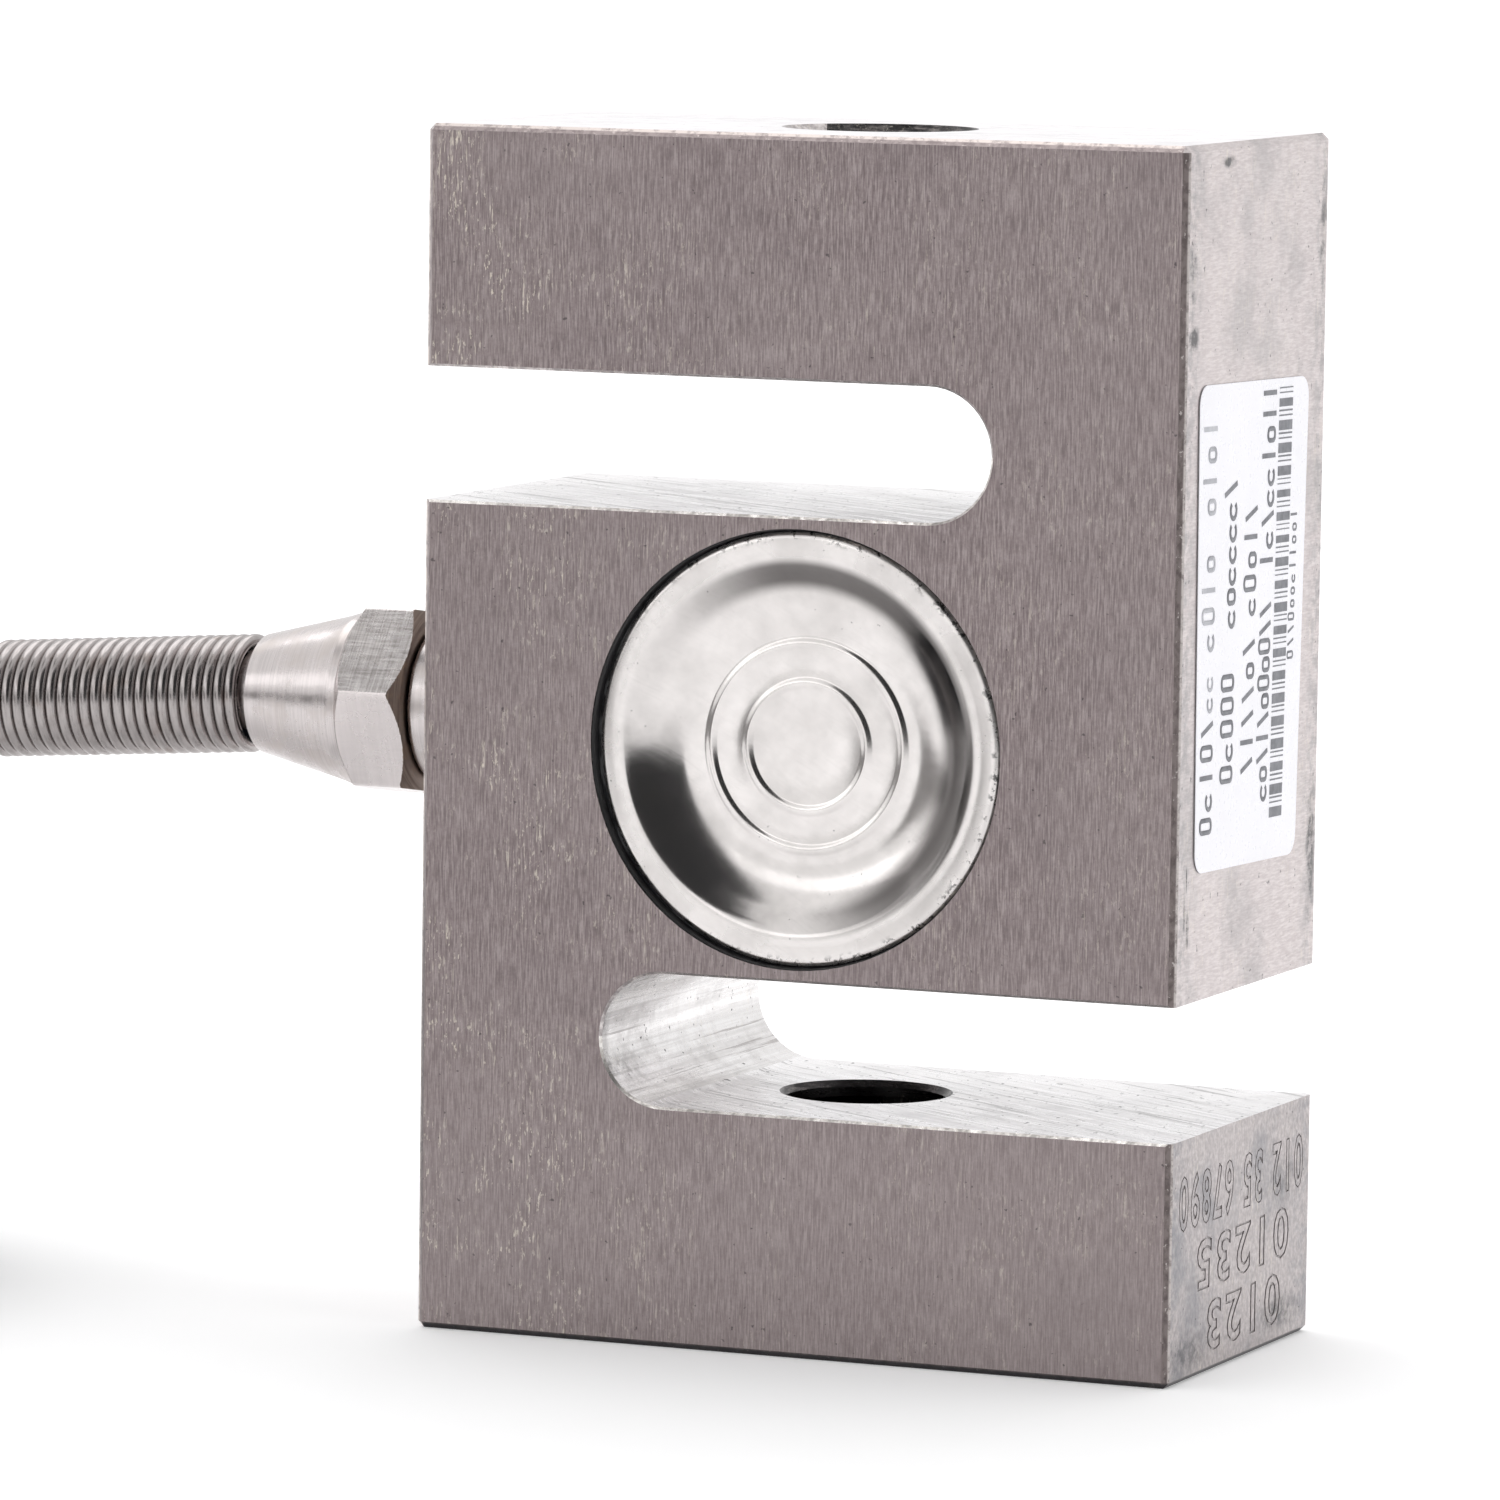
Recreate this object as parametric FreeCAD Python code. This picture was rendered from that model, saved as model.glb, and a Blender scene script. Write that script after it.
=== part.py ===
"""S type load cell: a machined steel spring element with gauged pockets, seal cups, a cable gland and cable.

The load axis is Z.  The origin is on that axis, in the plane of the base.  X runs towards the labelled side,
-X towards the cable, and the front pocket opens towards -Y.  All sizes are in millimetres.
"""
import FreeCAD, Part

import math
import os

V = FreeCAD.Vector

# ---------------------------------------------------------------- spring element
BODY_HEIGHT = 76.2
BODY_WIDTH = 50.8
BODY_DEPTH = 25.4
EDGE_BREAK = 0.4
ARM_HEIGHT = 15.2
SLOT_HEIGHT = 8.4
SLOT_REACH = 12.8  # how far each slot runs past the load axis, to the tip of its round end
POCKET_DIAMETER = 27.5
WEB_THICKNESS = 4.0
THREAD_DIAMETER = 10.2  # tapping size of the M12 x 1.75 load threads
THREAD_MOUTH_DIAMETER = 12.4
SLOT_MOUTH_DIAMETER = 11.0
CABLE_RISE = 0.3  # the cable port sits this much above mid height
PORT_THREAD_DIAMETER = 8.0
PORT_THREAD_DEPTH = 8.6
PORT_BORE_DIAMETER = 6.4
PORT_BREAK_IN = 2.2  # the port runs this far into the pockets, so that wires reach both sides of the web

# ---------------------------------------------------------------- seal cups
CUP_SHEET = 0.5
CUP_SET_BACK = 0.35
CUP_GAP = 0.3  # filled with sealant
CUP_LIP_WIDTH = 1.05
CUP_LIP_DROP = 0.85
CUP_CREST_WIDTH = 0.4
CUP_WALL_RUN = 2.2
CUP_FLOOR_DEPTH = 2.15
CUP_SKIRT_DEPTH = 3.6
SEALANT_DEPTH = 2.2

# ---------------------------------------------------------------- gauges, boards and their wires
GAUGE_WIDTH = 9.0
GAUGE_HEIGHT = 8.0
GAUGE_CORNER = 1.2
GAUGE_THICKNESS = 0.15
BOARD_INSET = 3.0  # from the pocket wall to the board's near edge
BOARD_WIDTH = 4.0
BOARD_HEIGHT = 12.0
BOARD_THICKNESS = 0.8
PAD_PITCH = 2.0
PAD_WIDTH = 1.2
PAD_THICKNESS = 0.15
PAD_MARGIN = 0.35
LEAD_WIDTH = 0.4
LEAD_THICKNESS = 0.08
LEAD_FOOT = 0.6
LEAD_RISE = 0.5
CORE_DIAMETER = 0.9
CORE_GAP = 0.2  # between the cut end of the jacket and the bare length of each core
CORE_SPREAD = 0.8  # of each core from the middle of the cable
CORE_FAN = 1.05  # between neighbouring cores where they leave the port
CORE_CROSSING = 1.4  # from the mid plane to the cores where they leave the port
CORE_LIFT = 0.7  # of the cores' loop above the pads
CORE_ON_PAD = 1.8
JUMPER_DIAMETER = 0.6
JUMPER_RISE = 1.9  # of each jumper from the port's axis, where it crosses the web
JUMPER_EDGE = 0.55  # from the end of the port to the jumpers
JUMPER_CROSSING = 2.7

# ---------------------------------------------------------------- gland
GASKET_THICKNESS = 0.6
COLLAR_DIAMETER = 10.2
COLLAR_LENGTH = 4.05
GLAND_THREAD_LENGTH = 4.9
GLAND_THREAD_DIAMETER = 8.5
SEAT_LENGTH = 2.0
SEAT_DIAMETER = 7.2
THREAD_CLEARANCE = 0.05
CABLE_CLEARANCE = 0.15
BUSH_LENGTH = 3.5
BUSH_CLEARANCE = 0.05
WASHER_THICKNESS = 0.7
NUT_GAP = 0.1  # between the collar and the nut
NUT_ACROSS_FLATS = 11.5
NUT_HEX_LENGTH = 4.7
NUT_TURN = 9.0  # degrees that a corner of the nut stands above the axis
NUT_CHAMFER_DEPTH = 0.6
NUT_CHAMFER_INSET = 0.2
NUT_BAND_LENGTH = 0.65
NUT_BAND_INSET = 0.15
NUT_CONE_LENGTH = 6.7
SPIGOT_LENGTH = 1.0
SPIGOT_CLEARANCE = 0.15

# ---------------------------------------------------------------- strain relief spring
WIRE_DIAMETER = 0.8
SPRING_DIAMETER = 7.7
SPRING_PITCH = 0.81
SPRING_TURNS = 23
SPRING_DROOP = 4.0  # degrees
SPRING_GAP = 0.05
WIRE_SIDES = 4
STEPS_PER_TURN = 12

# ---------------------------------------------------------------- label
LABEL_WIDTH = 19.0
LABEL_HEIGHT = 30.0
LABEL_THICKNESS = 0.12
LABEL_CORNER = 1.2
LABEL_SHIFT = -0.6
LABEL_RISE = 8.2

# ---------------------------------------------------------------- cable, its hank and its free end
CABLE_DIAMETER = 5.2
HANK_COLUMNS = 3
HANK_LAYERS = 4
HANK_FOLD_RADIUS = 15.6  # of the innermost turn's centre line
HANK_RUN = 45.0  # the straight part of each turn
HANK_START = -88.1
HANK_SHIFT = -15.6
HANK_CHAMFER = 1.6
TIE_THICKNESS = 0.8
TIE_WIDTH = 3.6
BACK_TIE_PLACE = -124.0
FRONT_TIE_PLACE = -97.0
END_WIRE_LENGTH = 24.0
END_WIRE_SPREAD = 3.0  # between neighbouring wires at their ends
DRAIN_DIAMETER = 0.8
CORE_COLOURS = ("red", "black", "green", "white")

# ---------------------------------------------------------------- sizes that follow from those above
MID_HEIGHT = BODY_HEIGHT / 2
AXIS_HEIGHT = MID_HEIGHT + CABLE_RISE
CABLE_FACE = -BODY_WIDTH / 2
FRONT_FACE = -BODY_DEPTH / 2
POCKET_RADIUS = POCKET_DIAMETER / 2
POCKET_DEPTH = (BODY_DEPTH - WEB_THICKNESS) / 2
WEB_FACE = -WEB_THICKNESS / 2
CUP_RADIUS = POCKET_RADIUS - CUP_GAP
PORT_END = -POCKET_RADIUS + PORT_BREAK_IN
CABLE_RADIUS = CABLE_DIAMETER / 2
CABLE_BORE = CABLE_RADIUS + CABLE_CLEARANCE
BOARD_EDGE = -POCKET_RADIUS + BOARD_INSET
BOARD_FACE = WEB_FACE - BOARD_THICKNESS
PAD_FACE = BOARD_FACE - PAD_THICKNESS
GAUGE_FACE = WEB_FACE - GAUGE_THICKNESS

HANK_INNER = HANK_FOLD_RADIUS - CABLE_RADIUS
HANK_OUTER = HANK_INNER + HANK_COLUMNS * CABLE_DIAMETER
HANK_TOP = TIE_THICKNESS + HANK_LAYERS * CABLE_DIAMETER

# distances out from the cable face, along the gland
COLLAR_START = GASKET_THICKNESS
COLLAR_END = COLLAR_START + COLLAR_LENGTH
NUT_START = COLLAR_END + NUT_GAP
HEX_END = NUT_START + NUT_HEX_LENGTH
BAND_END = HEX_END + NUT_BAND_LENGTH
CONE_END = BAND_END + NUT_CONE_LENGTH
SPIGOT_END = CONE_END + SPIGOT_LENGTH
GLAND_END = COLLAR_END + GLAND_THREAD_LENGTH
SEAT_START = GLAND_END - SEAT_LENGTH
BUSH_START = SEAT_START + BUSH_CLEARANCE
BUSH_END = BUSH_START + BUSH_LENGTH
WASHER_END = BUSH_END + WASHER_THICKNESS
SPRING_BORE = SPRING_DIAMETER / 2 - WIRE_DIAMETER
SPRING_START = CONE_END + SPRING_GAP + SPRING_DIAMETER / 2 * math.sin(math.radians(SPRING_DROOP))

# ---------------------------------------------------------------- routes
CABLE_ROUTE = [
    V(-17.2, 0, 38.4),
    V(-52.6, 0, 38.4),
    V(-88.0, 0, 32.6),
    V(-115.0, 0, 24.2),
]
TAIL_ROUTE = [
    V(-128.0, -29.6, 3.4),
    V(-106.5, -22.6, 2.6),
]


# ---------------------------------------------------------------- helpers
def turned(profile, base, axis, radial):
    """Solid of revolution from (along, radius) pairs, measured from base along the axis."""
    points = [base + axis * along + radial * radius for along, radius in profile]
    face = Part.Face(Part.makePolygon(points + points[:1]))
    return face.revolve(base, axis, 360)


def turned_on_gland(profile):
    """Solid of revolution about the gland's axis; along runs outwards from the cable face."""
    return turned(profile, V(CABLE_FACE, 0, AXIS_HEIGHT), V(-1, 0, 0), V(0, 0, 1))


def turned_in_front_pocket(profile):
    """Solid of revolution about the pocket's axis; along runs inwards from the front face."""
    return turned(profile, V(0, FRONT_FACE, MID_HEIGHT), V(0, 1, 0), V(1, 0, 0))


def box_between(low, high):
    """Box from its two opposite corners."""
    size = high - low
    return Part.makeBox(size.x, size.y, size.z, low)


def rear_of(shape):
    """The same piece on the other side of the web."""
    return shape.mirror(V(0, 0, 0), V(0, 1, 0))


def rounded_path(points):
    """Wire of straight runs joined by tangent arcs, with the arcs' radii."""
    edges = []
    radii = []
    start = points[0]
    for before, corner, after in zip(points, points[1:], points[2:]):
        back = (before - corner).normalize()
        ahead = (after - corner).normalize()
        half_turn = (math.pi - back.getAngle(ahead)) / 2
        reach = 0.45 * min((before - corner).Length, (after - corner).Length)
        radius = reach / math.tan(half_turn)
        middle = corner + (back + ahead).normalize() * (radius / math.cos(half_turn) - radius)
        entry = corner + back * reach
        leave = corner + ahead * reach
        edges.append(Part.LineSegment(start, entry).toShape())
        edges.append(Part.Arc(entry, middle, leave).toShape())
        radii.append(radius)
        start = leave
    edges.append(Part.LineSegment(start, points[-1]).toShape())
    return Part.Wire(edges), radii


def faceted_wire(points, diameter):
    """Thin six-sided wire through the given points, mitred where it bends."""
    sections = []
    for index, point in enumerate(points):
        before = point - points[max(index - 1, 0)]
        after = points[min(index + 1, len(points) - 1)] - point
        ahead = (before.normalize() if before.Length else V()) + (after.normalize() if after.Length else V())
        ahead.normalize()
        across = ahead.cross(V(0, 0, 1)).normalize()
        up = across.cross(ahead)
        corners = []
        for side in range(6):
            angle = math.pi / 3 * side
            corners.append(point + (across * math.cos(angle) + up * math.sin(angle)) * (diameter / 2))
        sections.append(Part.makePolygon(corners + corners[:1]))
    return Part.makeLoft(sections, True, True)


def swept_round(points, diameter, name):
    """Round tube along a rounded path; prints its radii and compares its volume with section times length."""
    path, radii = rounded_path(points)
    section = Part.Wire([Part.makeCircle(diameter / 2, points[0], points[1] - points[0])])
    tube = path.makePipeShell([section], True, True)
    expected = math.pi * diameter**2 / 4 * path.Length
    shown = ", ".join(f"{radius:.1f}" for radius in radii)
    share = tube.Volume / expected
    print(f"{name}: radii {shown} mm, length {path.Length:.1f} mm, volume {share:.4f} of section x length")
    return tube


# ---------------------------------------------------------------- spring element
def slot_cutter():
    """The upper slot, open towards the cable side and full round at its end."""
    radius = SLOT_HEIGHT / 2
    middle = BODY_HEIGHT - ARM_HEIGHT - radius
    end = SLOT_REACH - radius
    low = V(-BODY_WIDTH, -BODY_DEPTH, middle - radius)
    straight = box_between(low, V(end, BODY_DEPTH, middle + radius))
    return straight.fuse(Part.makeCylinder(radius, 2 * BODY_DEPTH, V(end, -BODY_DEPTH, middle), V(0, 1, 0)))


def thread_cutter():
    """The tapped hole through the upper arm, countersunk outside and eased at the slot."""
    hole = THREAD_DIAMETER / 2
    mouth = THREAD_MOUTH_DIAMETER / 2
    inner_mouth = SLOT_MOUTH_DIAMETER / 2
    slot_roof = BODY_HEIGHT - ARM_HEIGHT
    profile = [
        (slot_roof - EDGE_BREAK, 0),
        (slot_roof - EDGE_BREAK, inner_mouth + EDGE_BREAK),
        (slot_roof + inner_mouth - hole, hole),
        (BODY_HEIGHT - mouth + hole, hole),
        (BODY_HEIGHT + EDGE_BREAK, mouth + EDGE_BREAK),
        (BODY_HEIGHT + EDGE_BREAK, 0),
    ]
    return turned(profile, V(0, 0, 0), V(0, 0, 1), V(1, 0, 0))


def pocket_cutter():
    """The round pocket in the front face, down to the shear web."""
    return turned_in_front_pocket(
        [(-EDGE_BREAK, 0), (-EDGE_BREAK, POCKET_RADIUS), (POCKET_DEPTH, POCKET_RADIUS), (POCKET_DEPTH, 0)]
    )


def port_cutter():
    """The threaded cable port and the bore that opens it into both pockets."""
    thread = PORT_THREAD_DIAMETER / 2
    bore = PORT_BORE_DIAMETER / 2
    depth = PORT_END - CABLE_FACE
    return turned_on_gland(
        [
            (EDGE_BREAK, 0),
            (EDGE_BREAK, thread),
            (-PORT_THREAD_DEPTH, thread),
            (-PORT_THREAD_DEPTH, bore),
            (-depth, bore),
            (-depth, 0),
        ]
    )


def spring_element():
    """The S shaped body: one block, two opposed slots, two pockets, two load threads and the cable port."""
    block = box_between(
        V(-BODY_WIDTH / 2, -BODY_DEPTH / 2, 0),
        V(BODY_WIDTH / 2, BODY_DEPTH / 2, BODY_HEIGHT),
    )
    block = block.makeChamfer(EDGE_BREAK, block.Edges)
    for cutter in (slot_cutter(), thread_cutter()):
        opposite = cutter.copy()
        opposite.rotate(V(0, 0, MID_HEIGHT), V(0, 1, 0), 180)
        block = block.cut(cutter).cut(opposite)
    front = pocket_cutter()
    return block.cut(front).cut(rear_of(front)).cut(port_cutter())


# ---------------------------------------------------------------- seal cups
def front_seal_cup():
    """Drawn sheet cup: a skirt in the pocket, a raised lip, a sloping wall and a flat floor."""
    crest_outer = CUP_RADIUS - CUP_LIP_WIDTH
    crest_inner = crest_outer - CUP_CREST_WIDTH
    floor = crest_inner - CUP_WALL_RUN
    lip = CUP_SET_BACK + CUP_LIP_DROP
    outside = [
        (CUP_SKIRT_DEPTH, CUP_RADIUS),
        (lip, CUP_RADIUS),
        (CUP_SET_BACK, crest_outer),
        (CUP_SET_BACK, crest_inner),
        (CUP_FLOOR_DEPTH, floor),
        (CUP_FLOOR_DEPTH, 0),
    ]
    inside = [
        (CUP_FLOOR_DEPTH + CUP_SHEET, 0),
        (CUP_FLOOR_DEPTH + CUP_SHEET, floor),
        (lip, CUP_RADIUS - CUP_SHEET),
        (CUP_SKIRT_DEPTH, CUP_RADIUS - CUP_SHEET),
    ]
    return turned_in_front_pocket(outside + inside)


def front_sealant_ring():
    """Black sealant between the cup's skirt and the pocket's wall."""
    top = CUP_SET_BACK + CUP_LIP_DROP
    return turned_in_front_pocket(
        [
            (top, CUP_RADIUS),
            (top, POCKET_RADIUS),
            (top + SEALANT_DEPTH, POCKET_RADIUS),
            (top + SEALANT_DEPTH, CUP_RADIUS),
        ]
    )


# ---------------------------------------------------------------- gauges and boards
def pad_heights(count):
    """Heights of a column of pads, lowest first."""
    return [MID_HEIGHT + (row - (count - 1) / 2) * PAD_PITCH for row in range(count)]


def front_strain_gauge():
    """Foil gauge with two shear grids, bonded flat on the web."""
    half_width = GAUGE_WIDTH / 2
    half_height = GAUGE_HEIGHT / 2
    corners = [
        (-half_width + GAUGE_CORNER, -half_height),
        (half_width - GAUGE_CORNER, -half_height),
        (half_width, -half_height + GAUGE_CORNER),
        (half_width, half_height - GAUGE_CORNER),
        (half_width - GAUGE_CORNER, half_height),
        (-half_width + GAUGE_CORNER, half_height),
        (-half_width, half_height - GAUGE_CORNER),
        (-half_width, -half_height + GAUGE_CORNER),
    ]
    points = [V(x, WEB_FACE, MID_HEIGHT + z) for x, z in corners]
    return Part.Face(Part.makePolygon(points + points[:1])).extrude(V(0, -GAUGE_THICKNESS, 0))


def front_terminal_board():
    """Small board bonded to the web, with a column of tinned pads."""
    board = box_between(
        V(BOARD_EDGE, BOARD_FACE, MID_HEIGHT - BOARD_HEIGHT / 2),
        V(BOARD_EDGE + BOARD_WIDTH, WEB_FACE, MID_HEIGHT + BOARD_HEIGHT / 2),
    )
    for height in pad_heights(6):
        pad = box_between(
            V(BOARD_EDGE + PAD_MARGIN, PAD_FACE, height - PAD_WIDTH / 2),
            V(BOARD_EDGE + BOARD_WIDTH - PAD_MARGIN, BOARD_FACE, height + PAD_WIDTH / 2),
        )
        board = board.fuse(pad)
    return board


def front_gauge_leads():
    """Ribbon leads from the gauge's tabs to the inner four pads."""
    tab = -GAUGE_WIDTH / 2 + LEAD_FOOT
    pad = BOARD_EDGE + BOARD_WIDTH - PAD_MARGIN
    middle = (tab + pad) / 2
    line = [
        (tab, GAUGE_FACE),
        (tab - LEAD_FOOT, GAUGE_FACE),
        (middle, PAD_FACE - LEAD_RISE),
        (pad, PAD_FACE),
        (pad - LEAD_FOOT, PAD_FACE),
    ]
    upper = [(x, y - LEAD_THICKNESS) for x, y in reversed(line)]
    leads = []
    for height in pad_heights(4):
        points = [V(x, y, height - LEAD_WIDTH / 2) for x, y in line + upper]
        leads.append(Part.Face(Part.makePolygon(points + points[:1])).extrude(V(0, 0, LEAD_WIDTH)))
    return Part.makeCompound(leads)


def inner_core(index):
    """One core of the cable, from its stripped end in the port to its pad on the front board."""
    across = CORE_SPREAD if index in (0, 3) else -CORE_SPREAD
    up = CORE_SPREAD if index > 1 else -CORE_SPREAD
    fan = AXIS_HEIGHT + (index - 1.5) * CORE_FAN
    pad = pad_heights(4)[index]
    lift = PAD_FACE - CORE_DIAMETER / 2
    pad_start = BOARD_EDGE + PAD_MARGIN
    points = [
        V(CABLE_ROUTE[0].x + CORE_GAP, across, AXIS_HEIGHT + up),
        V(CORE_DIAMETER / 2 - POCKET_RADIUS, -CORE_CROSSING, fan),
        V((PORT_END - POCKET_RADIUS) / 2, lift - CORE_LIFT, (fan + pad) / 2),
        V(pad_start, lift, pad),
        V(pad_start + CORE_ON_PAD, lift, pad),
    ]
    return faceted_wire(points, CORE_DIAMETER)


def bridge_jumper(side):
    """Wire that joins the two boards' end pads through the port's break-in; side is 1 above, -1 below."""
    pad = MID_HEIGHT + side * 2.5 * PAD_PITCH
    lift = PAD_FACE - JUMPER_DIAMETER / 2
    pad_start = BOARD_EDGE + PAD_MARGIN
    half = [
        V(pad_start + CORE_ON_PAD, lift, pad),
        V(pad_start, lift, pad),
        V(PORT_END - JUMPER_EDGE, -JUMPER_CROSSING, AXIS_HEIGHT + side * JUMPER_RISE),
    ]
    other_half = [V(point.x, -point.y, point.z) for point in reversed(half)]
    return faceted_wire(half + other_half, JUMPER_DIAMETER)


# ---------------------------------------------------------------- gland
def gland_gasket():
    """Flat gasket between the cable face and the collar."""
    bore = PORT_THREAD_DIAMETER / 2
    rim = COLLAR_DIAMETER / 2
    return turned_on_gland([(0, bore), (0, rim), (GASKET_THICKNESS, rim), (GASKET_THICKNESS, bore)])


def gland_body():
    """Turned body: a shank in the port, a round collar, the nut's thread and a tapered seat for the bush."""
    shank = PORT_THREAD_DIAMETER / 2 - THREAD_CLEARANCE
    thread = GLAND_THREAD_DIAMETER / 2
    return turned_on_gland(
        [
            (-PORT_THREAD_DEPTH, CABLE_BORE),
            (-PORT_THREAD_DEPTH, shank),
            (COLLAR_START, shank),
            (COLLAR_START, COLLAR_DIAMETER / 2),
            (COLLAR_END, COLLAR_DIAMETER / 2),
            (COLLAR_END, thread),
            (GLAND_END, thread),
            (GLAND_END, SEAT_DIAMETER / 2),
            (SEAT_START, CABLE_BORE),
        ]
    )


def gland_bush():
    """Rubber bush, pressed into the tapered seat and round the cable."""
    seat_slope = (SEAT_DIAMETER / 2 - CABLE_BORE) / SEAT_LENGTH
    small_end = CABLE_BORE + seat_slope * BUSH_CLEARANCE
    large_end = SEAT_DIAMETER / 2 - BUSH_CLEARANCE
    return turned_on_gland(
        [
            (BUSH_START, CABLE_RADIUS),
            (BUSH_START, small_end - BUSH_CLEARANCE),
            (GLAND_END, large_end),
            (BUSH_END, large_end),
            (BUSH_END, CABLE_RADIUS),
        ]
    )


def gland_washer():
    """Washer between the bush and the nut's shoulder."""
    rim = GLAND_THREAD_DIAMETER / 2 - THREAD_CLEARANCE
    return turned_on_gland(
        [(BUSH_END, CABLE_BORE), (BUSH_END, rim), (WASHER_END, rim), (WASHER_END, CABLE_BORE)]
    )


def gland_cap_nut():
    """Hexagon nut that runs through a turned band and a cone to a short spigot for the spring."""
    corner = NUT_ACROSS_FLATS / 2 / math.cos(math.pi / 6)
    points = []
    for step in range(6):
        angle = math.radians(NUT_TURN + 60 * step)
        rise = corner * math.sin(angle)
        points.append(V(CABLE_FACE - NUT_START, -corner * math.cos(angle), AXIS_HEIGHT + rise))
    hexagon = Part.Face(Part.makePolygon(points + points[:1])).extrude(V(-NUT_HEX_LENGTH, 0, 0))
    inset = NUT_ACROSS_FLATS / 2 - NUT_CHAMFER_INSET
    blank = turned_on_gland(
        [
            (NUT_START, 0),
            (NUT_START, inset),
            (NUT_START + NUT_CHAMFER_DEPTH, corner),
            (HEX_END, corner),
            (HEX_END, 0),
        ]
    )
    band = NUT_ACROSS_FLATS / 2 - NUT_BAND_INSET
    spigot = SPRING_BORE - SPIGOT_CLEARANCE
    nose = turned_on_gland(
        [
            (HEX_END, 0),
            (HEX_END, band),
            (BAND_END, band),
            (CONE_END, SPRING_DIAMETER / 2),
            (CONE_END, spigot),
            (SPIGOT_END, spigot),
            (SPIGOT_END, 0),
        ]
    )
    thread = GLAND_THREAD_DIAMETER / 2 + THREAD_CLEARANCE
    bore = turned_on_gland(
        [
            (COLLAR_END, 0),
            (COLLAR_END, thread),
            (WASHER_END, thread),
            (WASHER_END, CABLE_BORE),
            (SPIGOT_END + NUT_GAP, CABLE_BORE),
            (SPIGOT_END + NUT_GAP, 0),
        ]
    )
    return hexagon.common(blank).fuse(nose).cut(bore).removeSplitter()


def strain_relief_spring():
    """Close-wound coil of faceted wire, seated on the nut's spigot and drooping with the cable."""
    radius = (SPRING_DIAMETER - WIRE_DIAMETER) / 2
    wire = WIRE_DIAMETER / 2
    sections = []
    for step in range(SPRING_TURNS * STEPS_PER_TURN + 1):
        turn = 2 * math.pi * step / STEPS_PER_TURN
        outwards = V(0, math.cos(turn), math.sin(turn))
        along = -SPRING_PITCH * step / STEPS_PER_TURN - wire
        points = []
        for side in range(WIRE_SIDES):
            angle = 2 * math.pi * side / WIRE_SIDES
            aside = V(along + wire * math.sin(angle), 0, 0)
            points.append(aside + outwards * (radius + wire * math.cos(angle)))
        sections.append(Part.makePolygon(points + points[:1]))
    coil = Part.makeLoft(sections, True, True)
    coil.rotate(V(0, 0, 0), V(0, 1, 0), -SPRING_DROOP)
    coil.translate(V(CABLE_FACE - SPRING_START, 0, AXIS_HEIGHT))
    return coil


# ---------------------------------------------------------------- label
def rating_label():
    """Thin label with rounded corners, on the face opposite the cable."""
    half_width = LABEL_WIDTH / 2
    half_height = LABEL_HEIGHT / 2
    low = V(BODY_WIDTH / 2, LABEL_SHIFT - half_width, MID_HEIGHT + LABEL_RISE - half_height)
    plate = Part.makeBox(LABEL_THICKNESS, LABEL_WIDTH, LABEL_HEIGHT, low)
    corners = [edge for edge in plate.Edges if abs(edge.tangentAt(edge.FirstParameter).x) > 0.9]
    return plate.makeFillet(LABEL_CORNER, corners)


# ---------------------------------------------------------------- cable
def cable():
    """The cable from its stripped end in the port, through the gland and the spring, down onto the hank."""
    return swept_round(CABLE_ROUTE, CABLE_DIAMETER, "cable").cut(cable_hank())


def hank_ring(inner, outer, low, high):
    """Band of the hank's turns between two fold radii and two heights."""

    def outline(radius, height):
        """Straight runs and half round ends of one turn."""
        right = HANK_START
        left = HANK_START - HANK_RUN
        back = HANK_SHIFT + radius
        front = HANK_SHIFT - radius
        right_tip = V(right + radius, HANK_SHIFT, height)
        left_tip = V(left - radius, HANK_SHIFT, height)
        right_end = Part.Arc(V(right, front, height), right_tip, V(right, back, height))
        left_end = Part.Arc(V(left, back, height), left_tip, V(left, front, height))
        return Part.Wire(
            [
                right_end.toShape(),
                Part.LineSegment(V(right, back, height), V(left, back, height)).toShape(),
                left_end.toShape(),
                Part.LineSegment(V(left, front, height), V(right, front, height)).toShape(),
            ]
        )

    height = V(0, 0, high - low)
    return Part.Face(outline(outer, low)).extrude(height).cut(Part.Face(outline(inner, low)).extrude(height))


def cable_hank():
    """The stored length as one closed solid: full layers of turns, and a single inner turn on top."""
    stack = hank_ring(HANK_INNER, HANK_OUTER, TIE_THICKNESS, HANK_TOP)
    rims = [edge for edge in stack.Edges if edge.BoundBox.ZLength < HANK_CHAMFER]
    outer_rims = [edge for edge in rims if abs(edge.CenterOfMass.y - HANK_SHIFT) > HANK_INNER + HANK_CHAMFER]
    stack = stack.makeChamfer(HANK_CHAMFER, outer_rims)
    top_turn = hank_ring(HANK_INNER, HANK_INNER + CABLE_DIAMETER, HANK_TOP, HANK_TOP + CABLE_DIAMETER)
    return stack.fuse(top_turn).removeSplitter()


def hank_tie(side, place):
    """Twist tie round one run of the hank; side is 1 for the back run, -1 for the front run."""

    def wrap(outer, top):
        """Block that stands one thickness clear of a band of turns all round."""
        near, far = sorted((HANK_SHIFT + side * HANK_INNER, HANK_SHIFT + side * outer))
        return box_between(
            V(place - TIE_WIDTH / 2, near - TIE_THICKNESS, 0),
            V(place + TIE_WIDTH / 2, far + TIE_THICKNESS, top + TIE_THICKNESS),
        )

    around_stack = wrap(HANK_OUTER, HANK_TOP)
    around_top_turn = wrap(HANK_INNER + CABLE_DIAMETER, HANK_TOP + CABLE_DIAMETER)
    return around_stack.fuse(around_top_turn).removeSplitter().cut(cable_hank())


def cable_tail():
    """The cable's free end, out of the hank's lowest inner turn."""
    return swept_round(TAIL_ROUTE, CABLE_DIAMETER, "cable tail").cut(cable_hank())


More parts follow.
